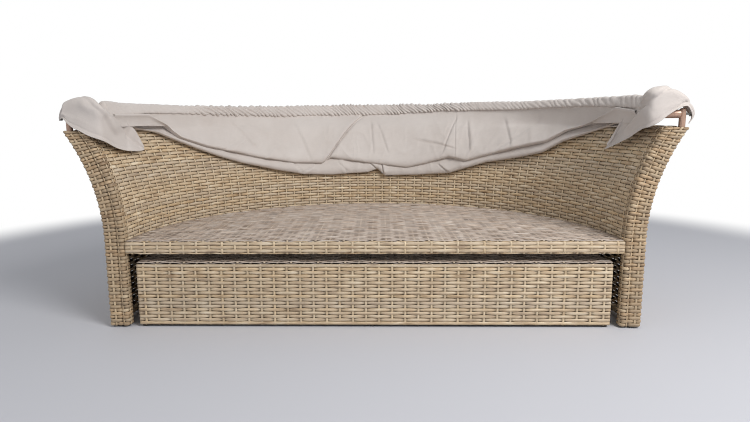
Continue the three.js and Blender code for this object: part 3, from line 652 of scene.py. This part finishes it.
def deck(node, name, radius, front_y, top_z, seed, apron=0.0, **worn):
    """A half-moon deck. Its apron is the part that runs over the rail in front of it."""
    size = (2 * radius, radius + apron)
    stakes = 2 * round(radius / SEAT_STAKE_PITCH) - 1

    def row_span(across):
        half = math.sqrt(max(radius ** 2 - max(across - apron, 0) ** 2, 0))
        return radius - half, radius + half

    def stake_span(across):
        return 0, apron + math.sqrt(max(radius ** 2 - (across - radius) ** 2, 0))

    def surface(u, v):
        return (2 * u - 1) * radius, front_y - apron + v * size[1], 0 * u + top_z

    cover(node, name, surface, size, stakes, round(radius / ROW_PITCH), grid=(8, 8),
          material=SEAT_WICKER, row_span=row_span, stake_span=stake_span, seed=seed, **worn)


low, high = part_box("seat_weave")
deck("seat_weave", "seat_strands", high.x - 0.001, low.y, high.z - 0.0030, 41,
     apron=max(low.y - RAIL_FRONT - 0.004, 0), slot="seat_wicker")

# Footstool: a half-moon with its own deck, a flat front and a curved side, woven by hand over
# a welded frame. The first and last rows of its front and side lie flat on the stakes.
STOOL_STAKE_PITCH = 0.043
SIDE_STAKES = 55
STAKE_SEGMENTS = 19
low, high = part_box("stool_top_weave")
deck("stool_top_weave", "stool_deck_strands", high.x - 0.002, low.y + 0.002, high.z - 0.0038, 51,
     body="footstool")
low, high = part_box("stool_front_weave")
front_half = high.x - 0.001
front_low, front_high = low.z, high.z
front_y = low.y + 0.0028


def stool_front(u, v):
    return (2 * u - 1) * front_half, front_y + 0 * u, front_low + v * (front_high - front_low)


cover("stool_front_weave", "stool_front_strands", stool_front, (2 * front_half, front_high - front_low),
      round(2 * front_half / STOOL_STAKE_PITCH), STAKE_SEGMENTS, grid=(8, 8), body="footstool",
      per_stake=6, edge_rows=1, seed=61)
low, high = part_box("stool_side_weave")
side_radius = high.x - 0.0025
side_low, side_high, side_y = low.z, high.z, low.y


def stool_side(u, v):
    return on_bow(side_radius, math.pi * u, side_low + v * (side_high - side_low), side_y)


cover("stool_side_weave", "stool_side_strands", stool_side, (math.pi * side_radius, side_high - side_low),
      SIDE_STAKES, STAKE_SEGMENTS, body="footstool", edge_rows=1, seed=71)

# Canopy posts and hoops: copper-brown coated steel tube, turned and bent, with a soft gloss
# that picks up a light line along each tube.
copper = speckled_finish("copper brown gloss coat", ("a88470", "c09f8a"), {"Scale": 900, "Detail": 2}, {
    "Metallic": 0.35, "Roughness": 0.36, "Coat Weight": 0.3, "Coat Roughness": 0.2})[0]
HOOPS = ["rear_hoop", "second_hoop", "third_hoop", "front_hoop"]
finish_nodes(copper, "canopy_post_left", "canopy_post_right", *HOOPS)

# Pivot bolts and nuts: zinc plated steel, turned and threaded. Glides: moulded brown rubber,
# pressed over the tubes' ends, dull and a little dusty.
zinc = speckled_finish("zinc plated steel", ("8f908c", "b9bab6"), {"Scale": 260, "Detail": 3},
                       {"Metallic": 1}, (0.3, 0.5))[0]
finish_nodes(zinc, "pivot_bolt_left", "pivot_bolt_right", "pivot_nut_left", "pivot_nut_right")
rubber = speckled_finish("moulded brown rubber", ("241f1c", "3b342f"), {"Scale": 120, "Detail": 4},
                         {"Roughness": 0.7})[0]
finish_nodes(rubber, "arm_glide_left", "arm_glide_right", *numbered("wall_glide", 4),
             *numbered("stool_glide", 6))

# Canopy cloth: light taupe woven polyester. Each gore is one sheet sewn to two hoops; folded
# back, it hangs doubled inside the wall with its fold at the bottom.
PIVOT_Y = FRONT_Y + 0.014
PIVOT_Z = 0.688
HOOP_HALF_WIDTHS = (0.9372, 0.9159, 0.8946, 0.8733)
HOOP_REACH = 0.955
HOOP_HEIGHTS = (0.6608, 0.6833, 0.7058, 0.7283)
CLOTH_THICKNESS = 0.0012
RIDGE_SETS = 5
# The mesh of each gore: columns, rows on the inner and outer ply, and the angles round the wall
# where sharp creases need closer columns, as (degrees, spread, gain).
CLOTH_GRID = {3: (540, 66, 24, [(100, 6, 3.0), (66, 3, 1.5), (86, 6, 0.6)]),
              2: (400, 60, 30, [(104, 5, 2.0), (89, 3, 3.0), (70, 5, 1.0)]),
              1: (300, 34, 34, [])}
# The threads are about 0.4 mm apart; they are drawn at 1.2 mm so that the weave shows. Slubs
# are about 33 mm long and 1.1 mm wide.
THREAD_PITCH = 0.0012
SLUBS_PER_M = (30, 900, 1)


def polyester():
    material, tree, shader = new_material("light taupe woven polyester", {
        "Roughness": 0.86, "Sheen Weight": 0.25, "Sheen Roughness": 0.5})
    where = add_node(tree, "ShaderNodeUVMap", {"uv_map": "UVMap"})
    soft = add_node(tree, "ShaderNodeTexNoise", inputs={
        "Vector": where, "Scale": 7, "Detail": 5, "Roughness": 0.6})
    tone = add_node(tree, "ShaderNodeMix", {"data_type": "RGBA"},
                    {0: soft, 6: linear("c3b8b0"), 7: linear("d9d1cb")}).outputs[2]
    weft, warp = [
        add_node(tree, "ShaderNodeTexWave", {"bands_direction": way}, {
            "Vector": where, "Scale": 1 / THREAD_PITCH / 3.14159, "Distortion": 0.6}).outputs[1]
        for way in "XY"]
    threads = add_node(tree, "ShaderNodeMath", {"operation": "ADD"}, {0: weft, 1: warp})
    drawn = add_node(tree, "ShaderNodeMapping", inputs={"Vector": where, "Scale": SLUBS_PER_M})
    slub = add_node(tree, "ShaderNodeTexNoise", inputs={"Vector": drawn, "Scale": 1, "Detail": 2})
    shade = add_node(tree, "ShaderNodeMapRange", inputs={0: slub, 3: 0.93, 4: 1.05})
    cloth = add_node(tree, "ShaderNodeMix", {"data_type": "RGBA", "blend_type": "MULTIPLY"},
                     {0: 1.0, 6: tone, 7: shade})
    bump = add_node(tree, "ShaderNodeBump", inputs={"Height": threads, "Strength": 0.25, "Distance": 0.0003})
    feed(tree, shader, {"Base Color": cloth.outputs[2], "Normal": bump})
    return material


CANOPY_CLOTH = polyester()


def hoop_at(i, angle):
    """Radius and height of a folded hoop's middle at an angle round the wall."""
    lead = BOW_Y - PIVOT_Y
    across = (np.cos(angle) / HOOP_HALF_WIDTHS[i]) ** 2 + (np.sin(angle) / HOOP_REACH) ** 2
    along = 2 * lead * np.sin(angle) / HOOP_REACH ** 2
    rest = (lead / HOOP_REACH) ** 2 - 1
    radius = (-along + np.sqrt(along ** 2 - 4 * across * rest)) / (2 * across)
    slope = (HOOP_HEIGHTS[i] - PIVOT_Z) / HOOP_REACH
    return radius, PIVOT_Z + (lead + radius * np.sin(angle)) * slope


def ridges(x, y, seed, sharp):
    """Creases like those of pressed cloth: thin raised lines between soft hollows."""
    chance = np.random.default_rng(seed)
    total = np.zeros_like(x)
    for _ in range(RIDGE_SETS):
        turn = chance.uniform(0, 2 * math.pi)
        bend = chance.uniform(0.6, 1.6, 2)
        shift = chance.uniform(0, 2 * math.pi, 3)
        line = (x * math.cos(turn) + y * math.sin(turn)) * chance.uniform(0.7, 1.6)
        line += 0.6 * np.sin(bend[0] * y + shift[0]) + 0.6 * np.sin(bend[1] * x + shift[1])
        fade = 0.5 + 0.5 * np.sin(0.7 * (x * math.sin(turn) - y * math.cos(turn)) + shift[2])
        total += fade * (1 - np.abs(np.sin(line))) ** sharp
    return total / RIDGE_SETS


def closed_sheet(name, points, uv):
    """A closed thin solid on a grid of points: two skins joined along their edges."""
    lift = outward_of(points) * CLOTH_THICKNESS / 2
    skins = np.concatenate([(points + lift).reshape(-1, 3), (points - lift).reshape(-1, 3)])
    index, top = grid_faces(*points.shape[:2])
    bottom = top[:, ::-1] + index.size
    loop = np.concatenate([index[0, :-1], index[:-1, -1], index[-1, :0:-1], index[:0:-1, 0]])
    after = np.roll(loop, -1)
    rim = np.stack([after, loop, loop + index.size, after + index.size], -1)
    faces = np.concatenate([top, bottom, rim])
    piece = mapped_object(name, skins, faces, "UVMap", np.tile(uv.reshape(-1, 2), (2, 1)))
    piece.data.polygons.foreach_set("use_smooth", [True] * len(faces))
    piece.data.materials.append(CANOPY_CLOTH)
    return piece


def cut_corners(points, axis, closed=False):
    """Rounds a line or a grid one step: each side gives way to its middle half."""
    points = np.moveaxis(points, axis, 0)
    lead, after = (points, np.roll(points, -1, 0)) if closed else (points[:-1], points[1:])
    pair = np.stack([lead * 0.75 + after * 0.25, lead * 0.25 + after * 0.75], 1)
    pair = pair.reshape(-1, *points.shape[1:])
    if not closed:
        pair = np.concatenate([points[:1], pair, points[-1:]])
    return np.moveaxis(pair, 0, axis)


def smooth_path(points, share):
    """Places at these shares of a rounded line through the control points, which are (n, k, 2)."""
    for _ in range(3):
        points = cut_corners(points, 1)
    along = run_along(points)
    places = [[np.interp(share * run[-1], run, line[:, k]) for k in (0, 1)]
              for run, line in zip(along, points)]
    return np.moveaxis(np.array(places), 1, 2), along[:, -1]


# Lowest line of each gore's fold: angle round the wall in degrees from the right arm, and
# height over the floor in mm.
FOLD_LINES = {
    3: [(4, 700), (12, 712), (18, 681), (23, 652), (29.6, 628), (35, 583), (43, 558), (52, 525),
        (60, 492), (65.7, 506), (70, 490), (75.4, 470), (79.5, 458), (86, 470), (92.9, 481),
        (104, 504), (107, 481), (116, 488), (128, 518), (133.5, 538), (144, 572), (152, 611),
        (156, 662), (162, 700), (176, 700)],
    2: [(4, 690), (16, 654), (22, 627), (30.4, 588), (36, 542), (43, 519), (54, 490), (65.6, 438),
        (76, 426), (86.5, 421), (88.9, 452), (92, 436), (104, 428), (113, 435), (122, 460),
        (133, 498), (140, 530), (147.6, 571), (154.7, 613), (158, 634), (165, 652), (176, 690)],
    1: [(4, 656), (12, 650), (20, 642), (40, 552), (66, 466), (90, 450), (112, 456), (140, 550),
        (160, 643), (168, 650), (176, 656)],
}
# How far the inner and outer ply of each gore hang off the wall's inside, in metres.
PLY_OFFSETS = {3: (0.029, 0.020), 2: (0.0155, 0.010), 1: (0.0075, 0.002)}
# Near its ends the front hoop's cloth is bunched up: how far the band's upper and lower edges
# rise over their place at the back, in mm, by angle round the wall.
BAND_TOP_MM = [(0, 42), (8, 46), (12, 42), (16, 39), (21, 35), (27, 29), (33, 25), (40, 19), (45, 15),
               (52, 15), (59, 11), (66, 6), (70, 0), (90, -1), (133, -1), (137, 3), (141, 7), (149, 13),
               (157, 21), (166, 28), (171, 33), (175, 40), (180, 41)]
BAND_LOW_MM = [(0, 48), (10, 50), (22, 48), (34, 38), (46, 26), (58, 21), (70, 19), (76, 10), (82, 5),
               (88, 0), (120, 1), (131, 9), (147, 24), (162, 36), (172, 34), (180, 28)]
# Share of a gore's length, from its front hoop, at which the cloth turns to its outer ply, and
# the places down each ply, as shares of its hang, where its section is set.
TURN_SHARE = 0.56
HANG_SHARES = (0.15, 0.35, 0.55, 0.75, 0.9)
GORE_ENDS = (4, 176)
WAVE_DEPTH = 0.011
WRINKLE_DEPTH = 0.0085
FINE_WRINKLE_DEPTH = 0.0045


def by_angle(table, angle, column=1):
    """What a table says at an angle. The table's first column is the angle in degrees."""
    table = np.array(table)
    return np.interp(np.degrees(angle), table[:, 0], table[:, column])


def closer_steps(low, high, count, spots):
    """Steps from low to high that lie closer together round each (middle, spread, gain)."""
    fine = np.linspace(low, high, 4000)
    density = np.ones(4000) + sum(gain * np.exp(-((fine - middle) / spread) ** 2)
                                  for middle, spread, gain in spots)
    total = np.concatenate([[0], np.cumsum((density[1:] + density[:-1]) / 2)])
    return np.interp(np.linspace(0, total[-1], count), total, fine)


def drape_gore(number):
    """A folded gore's section at each angle, and each place's run round it and depth down it."""
    columns, inner_rows, outer_rows, spots = CLOTH_GRID[number]
    angle = np.radians(closer_steps(*GORE_ENDS, columns, spots))
    kernel = np.hanning(5) / np.hanning(5).sum()
    fold_z = np.convolve(np.pad(by_angle(FOLD_LINES[number], angle) / 1000, 2, "edge"), kernel, "valid")
    inner_shares = closer_steps(0, TURN_SHARE, inner_rows, [(0.46, 0.07, 1.5)])
    shares = np.concatenate([inner_shares, np.linspace(TURN_SHARE, 1, outer_rows + 1)[1:]])

    def ply(hoop, rise, start_in, start_up, offset, bulge):
        hoop_r, hoop_z = hoop_at(hoop, angle)
        edge_r = wall_radius(WALL_HEIGHT, WALL_THICKNESS) - offset
        start = np.stack([hoop_r - start_in, hoop_z + rise + start_up], -1)
        over = np.stack([np.minimum(edge_r + 0.004, start[:, 0] - 0.001),
                         np.full_like(angle, WALL_HEIGHT + 0.004)], -1)
        under = np.maximum(fold_z, start[:, 1] - 0.05)
        over[:, 1] = np.minimum(over[:, 1], (start[:, 1] + under) / 2 + 0.02)
        recess = start + (over - start) * np.array([0.0, 0.24]) + (0.0008, 0)
        stations = [start, recess, over]
        for share in HANG_SHARES:
            z = over[:, 1] + (fold_z - over[:, 1]) * share
            hung = np.minimum(wall_radius(z, WALL_THICKNESS + offset), start[:, 0] - 0.001)
            stations.append(np.stack([hung - bulge * share ** 4, z], -1))
        return stations

    rise = by_angle(BAND_LOW_MM, angle) / 1000 * (number == 3)
    sewn_at = (0.0172, -0.0275) if number == 3 else (0.012, -0.006)
    inner_offset, outer_offset = PLY_OFFSETS[number]
    inner = ply(number, rise, *sewn_at, inner_offset, 0.014)
    outer = ply(number - 1, 0, 0.012, 0.002, outer_offset, 0.0)
    turn = [np.stack([inner[-1][:, 0] + 0.001, fold_z + 0.0015], -1),
            np.stack([(inner[-1] + outer[-1])[:, 0] / 2, fold_z - 0.003], -1),
            np.stack([outer[-1][:, 0], fold_z + 0.0015], -1)]
    path, length = smooth_path(np.stack([*inner, *turn, *outer[::-1]], 1), shares)
    share = shares[None, :] + 0 * angle[:, None]
    run = angle[:, None] * 0.9 + 0 * share
    return angle, path, share, run, share * length[:, None], length


def crease(run, down, at, foot, width, height, lip=None, gorge=0.55):
    """A raised pleat with a gorge beside it, on a line from one place on the cloth to another."""
    lip = lip or 0.12 * width
    a, b = np.array(at), np.array(foot)
    along = (b - a) / np.linalg.norm(b - a)
    side = np.array([-along[1], along[0]])
    s = (run - a[0]) * along[0] + (down - a[1]) * along[1]
    t = (run - a[0]) * side[0] + (down - a[1]) * side[1]
    reach = np.linalg.norm(b - a)
    fade = np.clip(s / (0.25 * reach), 0, 1) * np.clip((1.15 * reach - s) / (0.2 * reach), 0, 1)
    step = 1 / (1 + np.exp(np.clip(-t / lip, -60, 60)))
    valley = gorge * np.exp(-((t + lip) / (1.3 * lip)) ** 2)
    return height * fade * (step * np.exp(-np.maximum(t, 0) / width) - valley)


# The creases that the photograph shows on the inside of the back, by gore. Each has its start
# and its foot as (run, depth), its width, height, lip and the share of its gorge.
GORE_CREASES = {
    3: (((1.69, 0.279), (1.475, 0.022), 0.030, 0.013, 0.0034, 1.5),
        ((1.034, 0.0), (0.993, 0.239), 0.012, 0.0026, 0.0015, 0.9),
        ((2.10, 0.02), (2.02, 0.15), 0.03, 0.007), ((1.80, 0.02), (1.74, 0.22), 0.04, 0.006),
        ((0.80, 0.03), (0.72, 0.16), 0.03, 0.006), ((1.426, 0.032), (1.414, 0.20), 0.035, 0.006),
        ((1.40, 0.05), (1.345, 0.20), 0.03, 0.005), ((1.02, 0.03), (1.055, 0.20), 0.03, 0.007),
        ((0.97, 0.04), (0.925, 0.19), 0.03, 0.008), ((1.23, 0.15), (1.02, 0.19), 0.03, 0.006),
        ((2.02, 0.10), (2.22, 0.19), 0.04, 0.006), ((1.86, 0.13), (1.98, 0.21), 0.03, 0.005),
        ((0.60, 0.05), (0.78, 0.19), 0.05, 0.006)),
    2: (((1.778, 0.300), (1.835, 0.230), 0.022, 0.007, 0.002, 1.0),
        ((1.715, 0.255), (1.785, 0.296), 0.022, 0.006, 0.002, 1.0),
        ((1.374, 0.250), (1.362, 0.306), 0.018, 0.007, 0.002, 1.4),
        ((1.46, 0.235), (1.392, 0.290), 0.022, 0.006, 0.002, 1.0),
        ((1.090, 0.250), (1.029, 0.286), 0.022, 0.005, 0.002, 0.9),
        ((1.60, 0.245), (1.548, 0.290), 0.025, 0.004, 0.003, 0.6)),
    1: (),
}


def slack(number, angle, share, run, down, length):
    """How far the hanging cloth stands off its even section: slow waves, wrinkles and creases."""
    hanging = np.clip(np.sin(angle) * 1.4, 0, 1)[:, None]
    inner_side = np.clip((TURN_SHARE - share) / 0.08, 0, 1)
    free = np.clip(down / 0.09, 0, 1) ** 1.5 * inner_side * hanging
    slow = 0.5 + 0.5 * np.sin(run * 9.5 + 1.3 + 2.5 * down) * np.sin(run * 4.1 + 0.4)
    lower = np.clip(down / (length[:, None] / 2), 0, 1) ** 2
    inward = WAVE_DEPTH * slow * lower * inner_side * hanging
    inward += WRINKLE_DEPTH * ridges(run * 26, down * 15, 11 + number, 2.2) * free
    inward += FINE_WRINKLE_DEPTH * ridges(run * 60, down * 38, 21 + number, 3.0) * free
    for place in GORE_CREASES[number]:
        inward += crease(run, down, *place) * inner_side
    return inward


def by_rows(*layers):
    """Layers of the cloth's grid as one grid of points, with the sections as its columns."""
    return np.stack(layers, -1).transpose(1, 0, 2)


for number, front_body, rear_body in ((3, "canopy_front", "canopy_third"),
                                      (2, "canopy_third", "canopy_second"),
                                      (1, "canopy_second", "daybed")):
    angle, path, share, run, down, length = drape_gore(number)
    radius = path[:, :, 0] - slack(number, angle, share, run, down, length)
    points = by_rows(*on_bow(radius, angle[:, None], path[:, :, 1]))
    piece = closed_sheet(f"canopy_gore_cloth_{number}", points, by_rows(run, down))
    draped = np.empty(len(piece.data.vertices) * 3)
    piece.data.vertices.foreach_get("co", draped)
    cut = by_rows(run, share, 0 * share).reshape(-1, 3)
    piece.data.vertices.foreach_set("co", np.tile(cut, (2, 1)).ravel())
    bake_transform(piece)
    piece.data.vertices.foreach_set("co", draped)
    piece.data.update()
    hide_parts(f"canopy_gore_{number}")

# Hoop sleeves: each hoop runs in a sleeve sewn along the cloth's edge, which the folded canopy
# gathers into slanting pleats. The front hoop's sleeve is a deeper band with its seam inside.
# Each place on the section is (outward, up, share of the top's rise, share of the low edge's).
BAND_RING_MM = [(9, -7, 0, 0), (11.5, 1, 0.3, 0), (9, 8.5, 0.9, 0), (1, 11, 1, 0), (-7, 10.5, 1, 0),
                (-12.5, 5, 0.9, 0.1), (-16, -5, 0.6, 0.4), (-19.5, -15, 0.35, 0.65), (-22, -24, 0.1, 0.9),
                (-22, -31, 0, 1), (-18, -33.5, 0, 1), (-15.5, -27, 0.1, 0.9), (-13.5, -14, 0.35, 0.5),
                (-6, -12, 0, 0), (3, -11, 0, 0)]
SLEEVE_RING_MM = [(10.6 * math.cos(t), 10.6 * math.sin(t), 0, 0) for t in np.linspace(-1.4, 4.9, 13)[:-1]]
# How strongly and how closely the sleeves are gathered: angle, share of the depth, pitch in mm.
GATHER_TABLE = [(0, 0.2, 40), (25, 0.35, 36), (35, 0.25, 30), (58, 0.25, 17), (66, 1.0, 18), (84, 1.1, 17),
                (87, 0.4, 17), (90, 0.5, 17), (93, 1.1, 17), (104, 1.1, 18), (108, 0.5, 19), (116, 0.9, 22),
                (124, 0.9, 22), (135, 1.3, 26), (143, 1.2, 28), (149, 0.3, 34), (160, 0.15, 40),
                (180, 0.15, 40)]
# A sleeve narrows over this length at each end. Gathered cloth is cut longer than its hoop.
END_LENGTH = 0.03


def hoop_sleeve(number, body, ring_mm, gather, ends, columns, end_share):
    """A gathered sleeve round one hoop, from one end angle in degrees to the other."""
    ring = cut_corners(np.array(ring_mm, float), 0, closed=True) * (0.001, 0.001, 1, 1)
    turn = np.radians(np.linspace(ends, 180 - ends, columns))
    half, lean = HOOP_HALF_WIDTHS[number], math.atan((HOOP_HEIGHTS[number] - PIVOT_Z) / HOOP_REACH)
    in_plane = np.stack([half * np.cos(turn), HOOP_REACH * np.sin(turn)], -1)
    outward = unit(np.stack([HOOP_REACH * np.cos(turn), half * np.sin(turn)], -1))
    along = run_along(in_plane)
    strength = by_angle(GATHER_TABLE, turn)[:, None] * gather
    pitch = by_angle(GATHER_TABLE, turn, 2) / 1000
    phase = np.concatenate([[0], np.cumsum(np.diff(along) / pitch[1:])])
    tangent = np.roll(ring, -1, axis=0) - np.roll(ring, 1, axis=0)
    normal = unit(np.stack([tangent[:, 1], -tangent[:, 0]], -1))
    slant = phase[:, None] - ring[None, :, 1] * 1.15 / pitch[:, None]
    slant += 0.3 * np.sin(along[:, None] * 31 + number) + 0.14 * np.sin(along[:, None] * 83 + 2 * number)
    pleat = np.abs(np.sin(math.pi * slant)) ** 0.85 - 0.48
    pleat += 0.35 * np.sin(slant * 1.7 + 40 * ring[None, :, 0]) * np.sin(along[:, None] * 57)
    section = ring[None, :, :2] + normal[None] * (pleat * strength)[:, :, None]
    for column, table_mm in ((2, BAND_TOP_MM), (3, BAND_LOW_MM)):
        section[:, :, 1] += (by_angle(table_mm, turn) / 1000)[:, None] * ring[None, :, column]
    section *= np.clip(np.minimum(along, along[-1] - along) / END_LENGTH, end_share, 1)[:, None, None]
    flat = in_plane[:, None, :] + outward[:, None, :] * section[:, :, :1]
    level, steep = math.cos(lean), math.sin(lean)
    rings = np.stack([flat[:, :, 0], PIVOT_Y + flat[:, :, 1] * level - section[:, :, 1] * steep,
                      PIVOT_Z + flat[:, :, 1] * steep + section[:, :, 1] * level], -1)
    girth = run_along(np.concatenate([ring[:, :2], ring[:1, :2]]))
    rings = np.concatenate([rings, rings[:, :1]], axis=1)
    uv = np.stack(np.meshgrid(along, girth, indexing="ij"), -1)
    piece = closed_sheet(f"{body}_sleeve", rings, uv)
    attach(piece, body)


for number, body in enumerate(("daybed", "canopy_second", "canopy_third")):
    hoop_sleeve(number, body, SLEEVE_RING_MM, 0.0009, 3, 520, 1)
hoop_sleeve(3, "canopy_front", BAND_RING_MM, 0.0086, 1.2, 1560, 0.45)

# Corner flaps: the end of the cloth over each arm. It rolls over the post and the hoops' eyes,
# hangs over the arm's inner corner and lies back along the inside of the wall to its tip.
# Front places are (side, lean, roll, hem, top) in mm, the corner is (hem, top), tail places are
# (back, hem, top), and the last number is how far the tail's tip stands off the wall.
FLAPS = {
    "left": (-1, 5, [(984, 1, 4, 680, 688), (976, 5, 6, 686, 707), (966, 6, 9, 688, 725),
                     (956, 3, 12, 674, 738), (938, 0, 12, 658, 749), (914, 0, 12, 648, 754),
                     (888, 0, 12, 632, 745)],
             (619, 722), [(34, 607, 712), (79, 592, 697), (108, 584, 690), (138, 577, 690), (170, 573, 682),
                          (204, 571, 664), (224, 572, 634), (238, 573, 604), (246, 577, 588)], 0),
    "right": (1, 8, [(974, 1, 3.4, 658, 661), (984, 4, 4, 678, 681), (979, 12, 6, 690, 693),
                     (971, 14, 8, 701, 708), (960, 9, 11, 711, 725), (944, 4, 12, 709, 747),
                     (924, 1, 12, 699, 759), (900, 0, 12, 683, 761), (876, 0, 12, 662, 759)],
              (648, 755), [(28, 645, 742), (61, 634, 732), (92, 624, 716), (111, 616, 702), (138, 603, 692),
                           (168, 587, 678), (190, 576, 648), (200, 571, 615), (206, 572, 588)], 27),
}
FLAP_SIZE = (0.33, 0.25)
HEM_RELIEF = 0.0016
# Creases of each flap, in shares of its length and of its height.
FLAP_CREASES = {
    "left": (((0.30, 0.74), (0.56, 0.36), 0.12, 0.015, 0.014, 0.12),
             ((0.20, 0.70), (0.10, 0.25), 0.10, 0.008, 0.01),
             ((0.44, 0.90), (0.70, 0.80), 0.10, 0.010, 0.01),
             ((0.62, 0.90), (0.80, 0.30), 0.12, 0.012, 0.02),
             ((0.86, 0.80), (0.72, 0.10), 0.10, 0.004),
             ((0.30, 0.46), (0.46, 0.42), 0.20, 0.006, None, 0.0)),
    "right": (((0.34, 0.74), (0.46, 0.50), 0.10, 0.012, 0.012, 0.4),
              ((0.62, 0.55), (0.42, 0.88), 0.10, 0.016, 0.012),
              ((0.82, 0.35), (0.56, 0.42), 0.10, 0.012, 0.012),
              ((0.20, 0.72), (0.30, 0.20), 0.10, 0.006, 0.01),
              ((0.66, 0.95), (0.93, 0.40), 0.10, 0.006)),
}


def flap_station(origin, direction, hem, face, bottom, top, reach, lean=0):
    """One section of a flap, from its hem up the face and over the top."""
    bend = (top - bottom) / 4
    line = [(hem, bottom), (hem + (face - hem) * 0.6, bottom + bend), (face, bottom + 2 * bend),
            (face, top - bend / 2), (face + reach / 6, top - 1), (face + reach * 0.6, top - 3),
            (face + reach, top - 0.16 * reach)]
    tall = top - bottom
    return [(origin[0] + q * direction[0] + lean * (z - bottom) / tall, origin[1] + q * direction[1], z)
            for q, z in line]


def flap_cage(front, corner, tail, clear):
    """Control points of a flap in metres, from the tongue over the arm round to the tail's tip."""
    rows = []
    for x, lean, depth, bottom, top in front:
        reach = 56 * min(1, (depth - 3) / 9)
        face = -1.5 + 8 * max((x - 900) / 84, 0) ** 2
        rows.append(flap_station((x, 0), (0, 1), face - reach / 6, face, bottom, top, reach, lean))
    rows.append(flap_station((855, 4), (0.7, 0.7), 0, 0, *corner, 40))
    for i, (back, bottom, top) in enumerate(tail):
        radius = wall_radius(bottom / 1000, WALL_THICKNESS + 0.019) * 1000 - clear * i / len(tail)
        hem = math.sqrt(radius ** 2 - max(back - 28, 0) ** 2)
        hem = min(hem, 848)
        face = hem + (853 - hem) * min(1, (top - bottom) / 120)
        rows.append(flap_station((0, back), (1, 0), hem, face, bottom, top, 6))
    return np.array(rows) / 1000


for side, (sign, seed, front, corner, tail, clear) in FLAPS.items():
    points = flap_cage(front, corner, tail, clear)
    for _ in range(3):
        points = cut_corners(cut_corners(points, 0), 1)
    rows, columns = points.shape[:2]
    s, t = np.meshgrid(np.linspace(0, 1, rows), np.linspace(0, 1, columns), indexing="ij")
    free = np.clip(np.minimum(s, 1 - s) / 0.08, 0, 1) * np.clip((1.02 - t) / 0.2, 0, 1)
    puff = 0.006 * ridges(s * 6, t * 4, seed, 1.6) * free
    puff += 0.003 * ridges(s * 16, t * 9, seed + 3, 2.4) * free
    for place in FLAP_CREASES[side]:
        puff += crease(s, t, *place)
    # A turned hem, with the stitch line's groove beside it.
    puff += HEM_RELIEF * np.clip(1 - np.abs(t - 0.03) / 0.03, 0, 1)
    puff -= HEM_RELIEF * np.exp(-((t - 0.13) / 0.02) ** 2)
    points = points + outward_of(points) * puff[:, :, None]
    points = points * (sign, 1, 1) + (0, FRONT_Y, 0)
    uv = np.stack([s, t], -1) * FLAP_SIZE
    # The left flap is mirrored. The right one's rows are turned round, so that both face outwards.
    if sign > 0:
        points, uv = points[::-1], uv[::-1]
    piece = closed_sheet("corner_flap_cloth_" + side, points, uv)
    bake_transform(piece)
    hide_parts("corner_flap_" + side)

# Foot of the wall: a round steel tube bent to the half circle and wrapped by hand, turn beside
# turn, with the same strand.
BASE_RADIUS, BASE_Z = 0.8519, 0.0208
WRAP_RADIUS = 0.0107
WRAP_PITCH = 0.0095
wrap_size = (math.pi * BASE_RADIUS, 2 * math.pi * WRAP_RADIUS)


def base_wrap(u, v):
    around = 2 * math.pi * v
    return on_bow(BASE_RADIUS + WRAP_RADIUS * np.cos(around), math.pi * u,
                  BASE_Z + WRAP_RADIUS * np.sin(around))


wraps = int(wrap_size[0] / WRAP_PITCH)
every = {"run_from": 0, "run_to": wrap_size[1], "turned": 1, "crossing": 1, "phase": 0, "rise": 0,
         "lift": 0, "half_width": 0.0052, "thick": 0.0018}
plan = {key: [value] * wraps for key, value in every.items()}
plan["across"] = [(i + 0.5) * wrap_size[0] / wraps for i in range(wraps)]
plan["tint"] = list(np.random.default_rng(81).random(wraps))
piece = weave("base_tube_wrap", base_wrap, wrap_size, plan, TAN_WICKER, (128, 24), 1, 14)
dress(piece, "base_ring")
